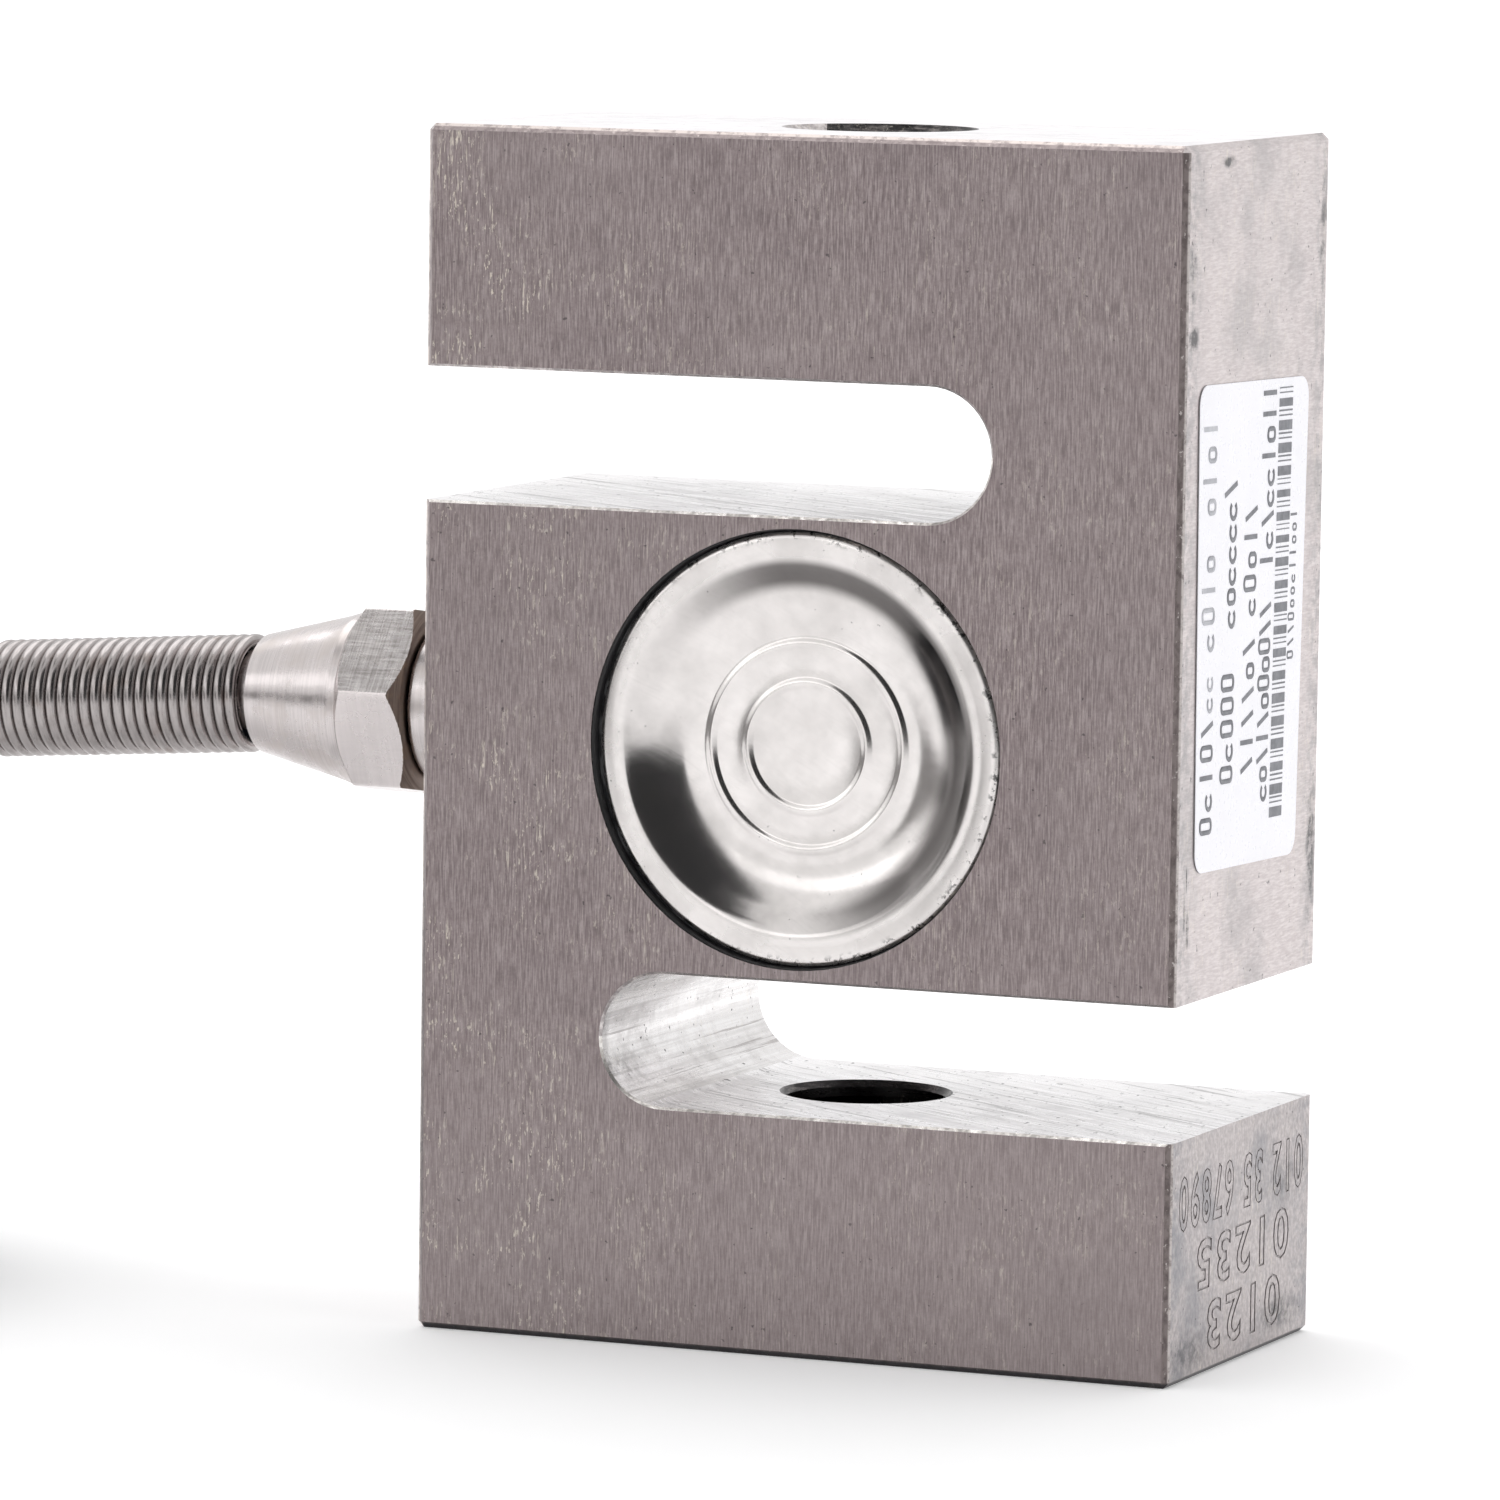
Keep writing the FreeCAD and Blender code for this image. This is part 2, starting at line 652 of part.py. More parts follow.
def end_wire(diameter, across, up, spread):
    """Bare wire from the cable's cut end down to the surface; its end is spread from the middle wire."""
    start = TAIL_ROUTE[-1]
    ahead = start - TAIL_ROUTE[-2]
    ahead.z = 0
    ahead.normalize()
    sideways = V(-ahead.y, ahead.x, 0)
    begin = start + ahead * CORE_GAP + sideways * across + V(0, 0, up)
    end = start + ahead * END_WIRE_LENGTH + sideways * spread
    end.z = diameter / 2
    line = end - begin
    return Part.makeCylinder(diameter / 2, line.Length, begin, line)


def end_core(index):
    """One insulated core at the free end; the lower two lie inside the upper two."""
    side = -1 if index < 2 else 1
    upper = index in (0, 3)
    up = CORE_SPREAD if upper else -CORE_SPREAD
    spread = side * END_WIRE_SPREAD * (2 if upper else 1)
    return end_wire(CORE_DIAMETER, side * CORE_SPREAD, up, spread)


def sub_parts():
    """Every sub-part by its name."""
    front = {
        "seal_cup": front_seal_cup(),
        "sealant_ring": front_sealant_ring(),
        "strain_gauge": front_strain_gauge(),
        "terminal_board": front_terminal_board(),
        "gauge_leads": front_gauge_leads(),
    }
    shapes = {"spring_element": spring_element()}
    for name, shape in front.items():
        shapes[f"front_{name}"] = shape
        shapes[f"rear_{name}"] = rear_of(shape)
    for index, colour in enumerate(CORE_COLOURS):
        shapes[f"inner_core_{colour}"] = inner_core(index)
        shapes[f"end_core_{colour}"] = end_core(index)
    shapes["upper_bridge_jumper"] = bridge_jumper(1)
    shapes["lower_bridge_jumper"] = bridge_jumper(-1)
    shapes["gland_gasket"] = gland_gasket()
    shapes["gland_body"] = gland_body()
    shapes["gland_bush"] = gland_bush()
    shapes["gland_washer"] = gland_washer()
    shapes["gland_cap_nut"] = gland_cap_nut()
    shapes["strain_relief_spring"] = strain_relief_spring()
    shapes["rating_label"] = rating_label()
    shapes["cable"] = cable()
    shapes["cable_hank"] = cable_hank()
    shapes["back_hank_tie"] = hank_tie(1, BACK_TIE_PLACE)
    shapes["front_hank_tie"] = hank_tie(-1, FRONT_TIE_PLACE)
    shapes["cable_tail"] = cable_tail()
    shapes["end_drain_wire"] = end_wire(DRAIN_DIAMETER, 0, 0, 0)
    return shapes


def main():
    """Write one STEP file for each sub-part."""
    os.makedirs("parts", exist_ok=True)
    for name, shape in sub_parts().items():
        shape.exportStep(f"parts/{name}.step")


main()
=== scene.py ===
"""Looks of the S type load cell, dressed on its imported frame.

Sizes are in millimetres until a mesh is written, in metres.  The frame's origin is on the load axis, in the
plane of the base.  X runs towards the label, the front pocket opens towards -Y, and Z is up.  Noise in the
finishes is about 0.25 to 0.75, so a step between two such levels picks out patches.
"""
import logging
import math
from contextlib import contextmanager
from dataclasses import dataclass, field
from enum import Enum
from typing import Callable, Iterable, Iterator, Optional, Sequence, Union

import bmesh
import bpy
from mathutils import Matrix, Vector, noise


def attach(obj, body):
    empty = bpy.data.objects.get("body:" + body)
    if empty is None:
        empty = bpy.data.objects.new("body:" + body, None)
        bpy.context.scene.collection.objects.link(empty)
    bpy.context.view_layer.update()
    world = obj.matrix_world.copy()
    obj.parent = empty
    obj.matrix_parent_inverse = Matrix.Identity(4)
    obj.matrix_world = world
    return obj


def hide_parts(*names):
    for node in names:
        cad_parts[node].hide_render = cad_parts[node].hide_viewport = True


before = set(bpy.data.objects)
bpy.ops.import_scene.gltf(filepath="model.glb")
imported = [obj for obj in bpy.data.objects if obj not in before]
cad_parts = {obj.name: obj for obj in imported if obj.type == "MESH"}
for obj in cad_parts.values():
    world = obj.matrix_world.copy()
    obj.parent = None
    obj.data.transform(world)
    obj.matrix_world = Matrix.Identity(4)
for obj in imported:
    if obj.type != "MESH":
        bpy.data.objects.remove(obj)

LOG = logging.getLogger("load_cell")
MM = 0.001
WIDTH, DEPTH, HEIGHT = 50.8, 25.4, 76.2
MIDDLE = HEIGHT / 2
GLAND_HEIGHT = 38.4
LABEL_SIDE = WIDTH / 2
CABLE_SIDE = -WIDTH / 2
SMUDGE_DEPTH = 2.0
Point = tuple[float, float]
Triple = tuple[float, float, float]
Colour = Triple
Scale = Triple
Turn = Triple
Mark = tuple[Triple, Triple, float]
LEVEL = (0.0, 0.0, 0.0)
Mesh = bpy.types.Mesh
Material = bpy.types.Material
Output = bpy.types.NodeSocket
Piece = bpy.types.Object
Socket = Union[Output, float, Sequence[float]]


# ---------------- shader helpers
class ShaderBench:
    """A material being made: its node tree, its shader, and short ways to add nodes."""

    def __init__(self, name: str, metallic: float, roughness: float) -> None:
        """Start a material.

        Args:
            name: The material's name.
            metallic: 1 for bare metal, 0 for anything else.
            roughness: The shader's roughness where nothing is linked to it.
        """
        self.material = bpy.data.materials.new(name)
        self.material.use_nodes = True
        self.tree = self.material.node_tree
        self.shader = self.tree.nodes["Principled BSDF"]
        self.shader.inputs["Metallic"].default_value = metallic
        self.shader.inputs["Roughness"].default_value = roughness
        self.coordinates = self.tree.nodes.new("ShaderNodeTexCoord").outputs["Object"]

    def feed(self, socket: Output, value: Socket) -> None:
        """Link a socket, or set its value.

        Args:
            socket: The input to feed.
            value: Another node's output, or a constant.
        """
        if isinstance(value, Output):
            self.tree.links.new(value, socket)
        elif socket.type == "RGBA" and not isinstance(value, float):
            socket.default_value = (*value, 1.0)[:4]
        else:
            socket.default_value = value

    def maths(self, operation: str, first: Socket, second: Socket = 0.0) -> Output:
        """Add a Math node.

        Args:
            operation: The node's operation.
            first: Its first value.
            second: Its second value.

        Returns:
            The node's output.
        """
        node = self.tree.nodes.new("ShaderNodeMath")
        node.operation = operation
        for socket, value in zip(node.inputs, (first, second)):
            self.feed(socket, value)
        return node.outputs[0]

    def product(self, first: Socket, second: Socket) -> Output:
        """Multiply two values."""
        return self.maths("MULTIPLY", first, second)

    def grain(self, per_mm: Sequence[float], detail: float = 2.0, shift: float = 0.0,
              turn: Turn = LEVEL, rough: float = 0.5) -> Output:
        """Add noise stretched along the axes.

        Args:
            per_mm: Features for each millimetre along X, Y and Z.
            detail: The noise's detail.
            shift: Offset that makes one noise differ from another.
            turn: Turn of the pattern about X, Y and Z, in radians.
            rough: The noise's roughness.

        Returns:
            The noise's value, about 0.25 to 0.75.
        """
        mapping = self.tree.nodes.new("ShaderNodeMapping")
        mapping.inputs["Scale"].default_value = [value / MM for value in per_mm]
        mapping.inputs["Location"].default_value = (shift, shift * 1.7, shift * 0.6)
        mapping.inputs["Rotation"].default_value = turn
        if any(turn):
            mapping.vector_type = "TEXTURE"
            mapping.inputs["Scale"].default_value = [MM / value for value in per_mm]
        self.tree.links.new(self.coordinates, mapping.inputs["Vector"])
        node = self.tree.nodes.new("ShaderNodeTexNoise")
        node.inputs["Scale"].default_value = 1.0
        node.inputs["Detail"].default_value = detail
        node.inputs["Roughness"].default_value = rough
        self.tree.links.new(mapping.outputs["Vector"], node.inputs["Vector"])
        return node.outputs["Fac"]

    def ramp(self, value: Socket, stops: Sequence[tuple[float, Colour]]) -> Output:
        """Add a colour ramp.

        Args:
            value: What drives it.
            stops: Positions and colours, in order.

        Returns:
            The ramp's colour.
        """
        node = self.tree.nodes.new("ShaderNodeValToRGB")
        band = node.color_ramp
        while len(band.elements) < len(stops):
            band.elements.new(0.5)
        for element, (position, colour) in zip(band.elements, stops):
            element.position = position
            element.color = (*colour, 1.0)
        self.feed(node.inputs["Fac"], value)
        return node.outputs["Color"]

    def step(self, value: Socket, low: float, high: float,
             start: float = 0.0, end: float = 1.0) -> Output:
        """Map a range smoothly onto another.

        Args:
            value: What is mapped.
            low: Value that gives start.
            high: Value that gives end.
            start: Result at low.
            end: Result at high.

        Returns:
            The mapped value.
        """
        node = self.tree.nodes.new("ShaderNodeMapRange")
        node.interpolation_type = "SMOOTHSTEP"
        for key, number in (("From Min", low), ("From Max", high), ("To Min", start), ("To Max", end)):
            node.inputs[key].default_value = number
        self.feed(node.inputs["Value"], value)
        return node.outputs["Result"]

    def blend(self, share: Socket, first: Socket, second: Socket) -> Output:
        """Mix two colours.

        Args:
            share: How much of the second.
            first: The first colour.
            second: The second colour.

        Returns:
            The mixed colour.
        """
        node = self.tree.nodes.new("ShaderNodeMix")
        node.data_type = "RGBA"
        self.feed(node.inputs[0], share)
        self.feed(node.inputs[6], first)
        self.feed(node.inputs[7], second)
        return node.outputs[2]

    def parts(self) -> tuple[Output, Output, Output]:
        """Split the point's Object coordinates.

        Returns:
            X, Y and Z, in metres.
        """
        node = self.tree.nodes.new("ShaderNodeSeparateXYZ")
        self.tree.links.new(self.coordinates, node.inputs[0])
        return node.outputs[0], node.outputs[1], node.outputs[2]

    def spot(self, centre: Sequence[float], reach: Sequence[float]) -> Output:
        """Mask a soft-edged place.

        Args:
            centre: Its middle, in mm.
            reach: How far it reaches along X, Y and Z, in mm.

        Returns:
            The mask, 1 in the middle.
        """
        mapping = self.tree.nodes.new("ShaderNodeMapping")
        mapping.vector_type = "TEXTURE"
        mapping.inputs["Location"].default_value = [value * MM for value in centre]
        mapping.inputs["Scale"].default_value = [value * MM for value in reach]
        self.tree.links.new(self.coordinates, mapping.inputs["Vector"])
        away = self.tree.nodes.new("ShaderNodeVectorMath")
        away.operation = "LENGTH"
        self.tree.links.new(mapping.outputs["Vector"], away.inputs[0])
        return self.step(away.outputs["Value"], 0.2, 1.0, 1.0, 0.0)

    def bump(self, height: Socket, distance_mm: float, strength: float = 1.0) -> None:
        """Raise the surface by a pattern.

        Args:
            height: The pattern.
            distance_mm: Height of a full step of the pattern.
            strength: How much of it shows.
        """
        node = self.tree.nodes.new("ShaderNodeBump")
        node.inputs["Distance"].default_value = distance_mm * MM
        node.inputs["Strength"].default_value = strength
        self.feed(node.inputs["Height"], height)
        self.tree.links.new(node.outputs["Normal"], self.shader.inputs["Normal"])

    def colour(self, value: Socket) -> None:
        """Feed the shader's base colour."""
        self.feed(self.shader.inputs["Base Color"], value)

    def roughness(self, value: Socket) -> None:
        """Feed the shader's roughness."""
        self.feed(self.shader.inputs["Roughness"], value)


# ---------------- finishes
@dataclass(frozen=True)
class BrushedSteel:
    """Nickel-plated steel: ground or milled grain, soft stains, pale nicks, small dark pits, painted light
    and shade.

    Grain, mottle, stain, haze, smear, patch, fleck, pit, scratch and cuts are features for each millimetre.
    Shares say how much of each shows, and levels how rare it is.  Wear is (axis, few, many): where along the
    axis nicks are few and many.  Lift is (low, high, share): painted light, lighter below low.  Dirt is
    (axis,
    inner, outer, share): greyer towards the edges.  Marks are (centre, reach, share) of single dark marks:
    smudges on the sides and slot floors, painted shade in the slot ends.
    """

    name: str
    dark: Colour
    middle: Colour
    light: Colour
    grain: Scale
    mottle: float = 5.0
    mottle_share: float = 0.22
    coarse_share: float = 0.1
    spread: float = 0.11
    stain: float = 0.12
    stain_share: float = 0.25
    stain_and_shade_colour: Colour = (0.2, 0.2, 0.2)
    haze: float = 0.045
    haze_share: float = 0.18
    smear: float = 0.9
    patch: float = 0.16
    fleck: Scale = (5.0, 5.0, 1.5)
    fleck_level: float = 0.59
    fleck_share: float = 0.6
    fleck_colour: Colour = (0.76, 0.7, 0.6)
    pit: float = 2.3
    pit_share: float = 0.6
    pit_level: float = 0.72
    pit_colour: Colour = (0.05, 0.045, 0.05)
    roughness: float = 0.42
    relief: float = 0.004
    turn: Turn = LEVEL
    scratch: Scale = (6.0, 6.0, 0.5)
    scratch_level: float = 0.6
    scratch_turn: Turn = LEVEL
    cross_scratch_level: float = 0.69
    cuts: Scale = (0.05, 1.0, 1.0)
    cut_share: float = 0.0
    wear: tuple[int, float, float] = (0, -26.0, -25.9)
    # Painted light: share of lighter colour low on the face.
    lift: tuple[float, float, float] = (5.0, 30.0, 0.0)
    dirt: tuple[int, float, float, float] = (1, 10.0, 12.6, 0.0)
    marks: tuple[Mark, ...] = ()

    def lines(self, bench: ShaderBench) -> Output:
        """Add up the grain and the mottle.

        Args:
            bench: The material being made.

        Returns:
            One value about 0.5.
        """
        fine = bench.grain(self.grain, shift=3.1, turn=self.turn, rough=0.65)
        coarse = bench.grain([value * 0.45 for value in self.grain], shift=11.7, turn=self.turn)
        mottle = bench.grain([self.mottle] * 3, detail=3.0, shift=17.0, rough=0.7)
        fine_part = bench.product(fine, 1.0 - self.coarse_share - self.mottle_share)
        coarse_part = bench.product(coarse, self.coarse_share)
        mottle_part = bench.product(mottle, self.mottle_share)
        return bench.maths("ADD", fine_part, bench.maths("ADD", coarse_part, mottle_part))

    def soiled_and_shaded(self, bench: ShaderBench, colour: Output) -> Output:
        """Lay stains, edge dirt, painted light low down and single dark marks on the grain.

        Args:
            bench: The material being made.
            colour: The grain's colour.

        Returns:
            The colour with its stains, dirt, painted light and marks.
        """
        cloud = bench.step(bench.grain([self.stain] * 3, detail=5.0, shift=5.3, rough=0.62), 0.46, 0.68)
        colour = bench.blend(bench.product(cloud, self.stain_share), colour, self.stain_and_shade_colour)
        haze = bench.step(bench.grain([self.haze] * 3, shift=8.8), 0.4, 0.62)
        colour = bench.blend(bench.product(haze, self.haze_share), colour, self.light)
        # Painted light: the colour grows lighter towards the bottom.
        if self.lift[2]:
            low, high, share = self.lift
            painted_light_low = bench.step(bench.parts()[2], low * MM, high * MM, share, 0.0)
            colour = bench.blend(painted_light_low, colour, self.light)
        smear = bench.step(bench.grain([self.smear] * 3, detail=4.0, shift=61.0, rough=0.7), 0.42, 0.62)
        if self.dirt[3]:
            axis, inner, outer, share = self.dirt
            away = bench.maths("ABSOLUTE", bench.parts()[axis])
            edge = bench.step(away, inner * MM, outer * MM, 0.0, share)
            colour = bench.blend(bench.product(edge, smear), colour, self.stain_and_shade_colour)
        # Single dark marks: smudges on the sides and slot floors, and painted shade in the slot ends.
        for centre, reach, share in self.marks:
            place = bench.spot(centre, reach)
            smudge = bench.product(place, bench.product(bench.maths("ADD", smear, 0.4), share))
            colour = bench.blend(smudge, colour, [value * 0.4 for value in self.stain_and_shade_colour])
        return colour

    def worn(self, bench: ShaderBench, colour: Output) -> Output:
        """Lay pale flecks and two sets of scratches on the steel, in patches.

        Args:
            bench: The material being made.
            colour: The steel's colour.

        Returns:
            The worn colour.
        """
        patch = bench.step(bench.grain([self.patch] * 3, detail=3.0, shift=33.0, rough=0.6), 0.42, 0.6)
        axis, few, many = self.wear
        wear = bench.product(patch, bench.step(bench.parts()[axis], few * MM, many * MM, 0.3, 1.0))
        crossing = [value * 0.8 for value in self.scratch]
        for size, shift, turn, level, share in (
                (self.fleck, 41.3, LEVEL, self.fleck_level, self.fleck_share),
                (self.scratch, 51.0, LEVEL, self.scratch_level, self.fleck_share),
                (crossing, 57.0, self.scratch_turn, self.cross_scratch_level, self.fleck_share * 0.6)):
            grain = bench.grain(size, detail=3.0, shift=shift, turn=turn, rough=0.7)
            nick = bench.step(grain, level, level + 0.07, 0.0, share)
            colour = bench.blend(bench.product(nick, wear), colour, self.fleck_colour)
        return colour

    def material(self) -> Material:
        """Make the material.

        Returns:
            The finished material.
        """
        bench = ShaderBench(self.name, 1.0, self.roughness)
        lines = self.lines(bench)
        tones = [(0.5 - self.spread, self.dark), (0.5, self.middle), (0.5 + self.spread, self.light)]
        colour = self.soiled_and_shaded(bench, bench.ramp(lines, tones))
        if self.cut_share:
            marks = bench.grain(self.cuts, detail=4.0, shift=71.0, turn=self.turn, rough=0.8)
            cut = bench.step(marks, 0.58, 0.62, 0.0, self.cut_share)
            colour = bench.blend(cut, colour, self.stain_and_shade_colour)
        colour = self.worn(bench, colour)
        pit = bench.grain([self.pit] * 3, shift=23.9)
        pitted = bench.step(pit, self.pit_level, self.pit_level + 0.05, 0.0, self.pit_share)
        bench.colour(bench.blend(pitted, colour, self.pit_colour))
        bench.roughness(bench.step(lines, 0.35, 0.65, self.roughness + 0.08, self.roughness - 0.06))
        bench.bump(lines, self.relief, 0.6)
        return bench.material


@dataclass(frozen=True)
class BrokenEdge:
    """Chamfer between ground faces, with a thin painted highlight line, broken here and there, along one
    side.

    Line is (axis, start, full): the distances from the middle plane at which the painted highlight line
    starts and is full.  Where full is less than start, it runs along the inner side.  Base is the height
    below which the chamfer is painted darkest, as a contact shadow, and the height where that ends.
    """

    name: str
    dark: Colour
    middle: Colour
    bright: Colour
    line: tuple[int, float, float]
    highlight_share: float = 0.9
    nick_share: float = 0.5
    base: Point = (0.2, 0.5)
    contact_shadow_share: float = 0.0
    contact_shadow_colour: Colour = (0.03, 0.03, 0.035)

    def material(self) -> Material:
        """Make the material.

        Returns:
            The finished material.
        """
        bench = ShaderBench(self.name, 1.0, 0.34)
        grain = bench.grain([2.2, 2.2, 1.4], detail=3.0, shift=4.7, rough=0.6)
        colour = bench.ramp(grain, [(0.36, self.dark), (0.58, self.middle)])
        # Painted highlight: a bright line along one side of the chamfer, broken by noise.
        axis, start, full = self.line
        away = bench.maths("ABSOLUTE", bench.parts()[axis])
        gaps = bench.grain([1.3] * 3, detail=4.0, shift=9.0, rough=0.75)
        share = bench.step(gaps, 0.38, 0.54, 0.25, self.highlight_share)
        line = bench.product(bench.step(away, start * MM, full * MM), share)
        colour = bench.blend(line, colour, self.bright)
        nicks = bench.grain([2.6] * 3, detail=4.0, shift=77.0, rough=0.7)
        colour = bench.blend(bench.step(nicks, 0.6, 0.68, 0.0, self.nick_share), colour, self.bright)
        # Painted contact shadow: the chamfer darkens towards the floor.
        if self.contact_shadow_share:
            dark, clear = self.base
            low = bench.step(bench.parts()[2], dark * MM, clear * MM, self.contact_shadow_share, 0.0)
            colour = bench.blend(low, colour, self.contact_shadow_colour)
        bench.colour(colour)
        bench.bump(grain, 0.01, 0.5)
        return bench.material


@dataclass(frozen=True)
class PaintedReflection:
    """Painted reflection on the cup: a dark tone in a ring that grows darker along a slanting line.

    Ring is the radii where the tone starts, is full, fades and ends.  Slant is the line's share of X and of
    the height above the cup's middle.  The shares are the tone's strength at the two places.
    """

    ring: tuple[float, float, float, float]
    slant: Point
    places: Point
    shares: Point
    colour: Colour


@dataclass(frozen=True)
class PolishedSheet:
    """Bright drawn stainless sheet: faint grain, painted dark reflections, smudges and black specks near its
    rim.

    Speck ring and dull ring are the radii where the specks and the dull lip start and are full.
    """

    name: str = "polished_sheet"
    colour: Colour = (0.8, 0.765, 0.75)
    shade: Colour = (0.66, 0.63, 0.615)
    # Painted reflections: the wall darkened at its upper right, and a dark line on its right side.
    tones: tuple[PaintedReflection, ...] = (
        PaintedReflection((9.6, 10.6, 11.4, 12.1), (0.85, 0.35), (-5.0, 3.0), (0.1, 0.88), (0.1, 0.092, 0.09)),
        PaintedReflection((8.8, 9.9, 10.3, 11.3), (1.0, -0.25), (3.5, 9.0), (0.0, 0.85), (0.12, 0.11, 0.108)))
    speck_ring: Point = (12.8, 13.5)
    speck_share: float = 0.9
    speck_colour: Colour = (0.03, 0.03, 0.03)
    pit_share: float = 0.6
    pit_colour: Colour = (0.1, 0.09, 0.09)
    dull_ring: Point = (11.6, 12.2)
    dullness: float = 0.12

    def material(self) -> Material:
        """Make the material.

        Returns:
            The finished material.
        """
        bench = ShaderBench(self.name, 1.0, 0.16)
        across, _, up = bench.parts()
        rise = bench.maths("SUBTRACT", up, MIDDLE * MM)
        squares = bench.maths("ADD", bench.product(across, across), bench.product(rise, rise))
        radius = bench.maths("SQRT", squares)
        smudge = bench.grain([0.28] * 3, detail=4.0, shift=2.2, rough=0.6)
        colour = bench.ramp(smudge, [(0.3, self.shade), (0.62, self.colour)])
        hair = bench.grain([0.35, 0.35, 7.0], detail=3.0, shift=4.4, turn=(0.0, 0.5, 0.0), rough=0.7)
        colour = bench.blend(bench.step(hair, 0.5, 0.75, 0.0, 0.35), colour, self.shade)
        # Painted reflections: each tone darkens one side of the cup's wall.
        for tone in self.tones:
            start, full, fade, end = (value * MM for value in tone.ring)
            ring = bench.product(bench.step(radius, start, full), bench.step(radius, fade, end, 1.0, 0.0))
            level, upright = tone.slant
            lean = bench.maths("ADD", bench.product(across, level), bench.product(rise, upright))
            first, second = (value * MM for value in tone.places)
            share = bench.step(lean, first, second, *tone.shares)
            colour = bench.blend(bench.product(ring, share), colour, tone.colour)
        rim = bench.step(radius, *(value * MM for value in self.speck_ring))
        chip = bench.step(bench.grain([1.6] * 3, detail=4.0, shift=9.1, rough=0.7), 0.55, 0.61)
        speck = bench.product(bench.product(rim, chip), self.speck_share)
        colour = bench.blend(speck, colour, self.speck_colour)
        pit = bench.step(bench.grain([3.0] * 3, shift=31.0), 0.74, 0.78, 0.0, self.pit_share)
        bench.colour(bench.blend(pit, colour, self.pit_colour))
        start, full = (value * MM for value in self.dull_ring)
        lip = bench.step(radius, start, full, 0.0, self.dullness)
        bench.roughness(bench.maths("ADD", bench.step(smudge, 0.3, 0.7, 0.2, 0.13), lip))
        fine = bench.grain([1.1] * 3, detail=3.0, shift=14.0)
        bench.bump(bench.maths("ADD", bench.product(hair, 0.4), fine), 0.006, 0.5)
        return bench.material


@dataclass(frozen=True)
class TurnedNickel:
    """Nickel-plated brass: fine turning lines across the axis, warmer where the plating is thin.

    Pitch is the turning lines for each millimetre, cross the share of lines that run along the axis instead,
    and uneven how far the roughness strays.
    """

    name: str = "turned_nickel"
    colour: Colour = (0.64, 0.595, 0.59)
    shade: Colour = (0.55, 0.51, 0.505)
    bare: Colour = (0.42, 0.33, 0.24)
    bare_share: float = 0.08
    roughness: float = 0.27
    cross: float = 0.0
    relief: float = 0.006
    cloud_share: float = 0.2
    pitch: float = 9.0
    uneven: float = 0.08
    speck_share: float = 0.6
    speck_colour: Colour = (0.07, 0.06, 0.05)

    def material(self) -> Material:
        """Make the material.

        Returns:
            The finished material.
        """
        bench = ShaderBench(self.name, 1.0, self.roughness)
        lines = bench.grain([self.pitch, 0.12, 0.12], detail=3.0, shift=1.3, rough=0.7)
        cloud = bench.grain([0.5] * 3, detail=4.0, shift=6.1, rough=0.6)
        across = bench.grain([0.5, 5.0, 5.0], detail=3.0, shift=27.0, rough=0.7)
        hatch = bench.blend(self.cross, lines, across)
        colour = bench.ramp(hatch, [(0.34, self.shade), (0.6, self.colour)])
        colour = bench.blend(bench.step(cloud, 0.5, 0.72, 0.0, self.cloud_share), colour, self.shade)
        colour = bench.blend(bench.step(cloud, 0.3, 0.55, self.bare_share * 2.0, 0.0), colour, self.bare)
        speck = bench.step(bench.grain([2.6] * 3, shift=15.0), 0.76, 0.8, 0.0, self.speck_share)
        bench.colour(bench.blend(speck, colour, self.speck_colour))
        rough, smooth = self.roughness + self.uneven, self.roughness - self.uneven
        bench.roughness(bench.step(cloud, 0.3, 0.7, rough, smooth))
        bench.bump(hatch, self.relief, 0.5)
        return bench.material


@dataclass(frozen=True)
class DrawnWire:
    """Spring steel wire, grey and bright, with brown dirt here and there."""

    name: str = "drawn_wire"
    colour: Colour = (0.42, 0.39, 0.385)
    shade: Colour = (0.33, 0.305, 0.3)
    dirt_share: float = 0.35
    dirt_colour: Colour = (0.2, 0.14, 0.11)

    def material(self) -> Material:
        """Make the material.

        Returns:
            The finished material.
        """
        bench = ShaderBench(self.name, 1.0, 0.2)
        grain = bench.grain([5.0, 0.8, 0.8], detail=3.0, shift=7.7, rough=0.6)
        colour = bench.ramp(grain, [(0.35, self.shade), (0.6, self.colour)])
        dirt = bench.step(bench.grain([0.6] * 3, detail=3.0, shift=19.0), 0.55, 0.75, 0.0, self.dirt_share)
        bench.colour(bench.blend(dirt, colour, self.dirt_colour))
        bench.roughness(bench.step(grain, 0.3, 0.7, 0.28, 0.2))
        bench.bump(grain, 0.001, 0.3)
        return bench.material


@dataclass(frozen=True)
class SoftFinish:
    """Plastic, rubber, ink or film: two close tones in soft clouds, with a fine grain on the surface."""

    name: str
    colour: Colour
    tone: Colour
    roughness: float = 0.45
    cloud: float = 0.3
    grain: float = 4.0
    relief: float = 0.01

    def bench(self) -> tuple[ShaderBench, Output]:
        """Start the material.

        Returns:
            The material's bench and its colour, before anything more is laid on it.
        """
        bench = ShaderBench(self.name, 0.0, self.roughness)
        cloud = bench.grain([self.cloud] * 3, detail=4.0, shift=2.9, rough=0.6)
        colour = bench.ramp(cloud, [(0.32, self.colour), (0.68, self.tone)])
        fine = bench.grain([self.grain] * 3, detail=3.0, shift=12.0)
        bench.roughness(bench.step(fine, 0.3, 0.7, self.roughness - 0.06, self.roughness + 0.1))
        bench.bump(fine, self.relief, 0.5)
        return bench, colour

    def material(self) -> Material:
        """Make the material.

        Returns:
            The finished material.
        """
        bench, colour = self.bench()
        bench.colour(colour)
        return bench.material


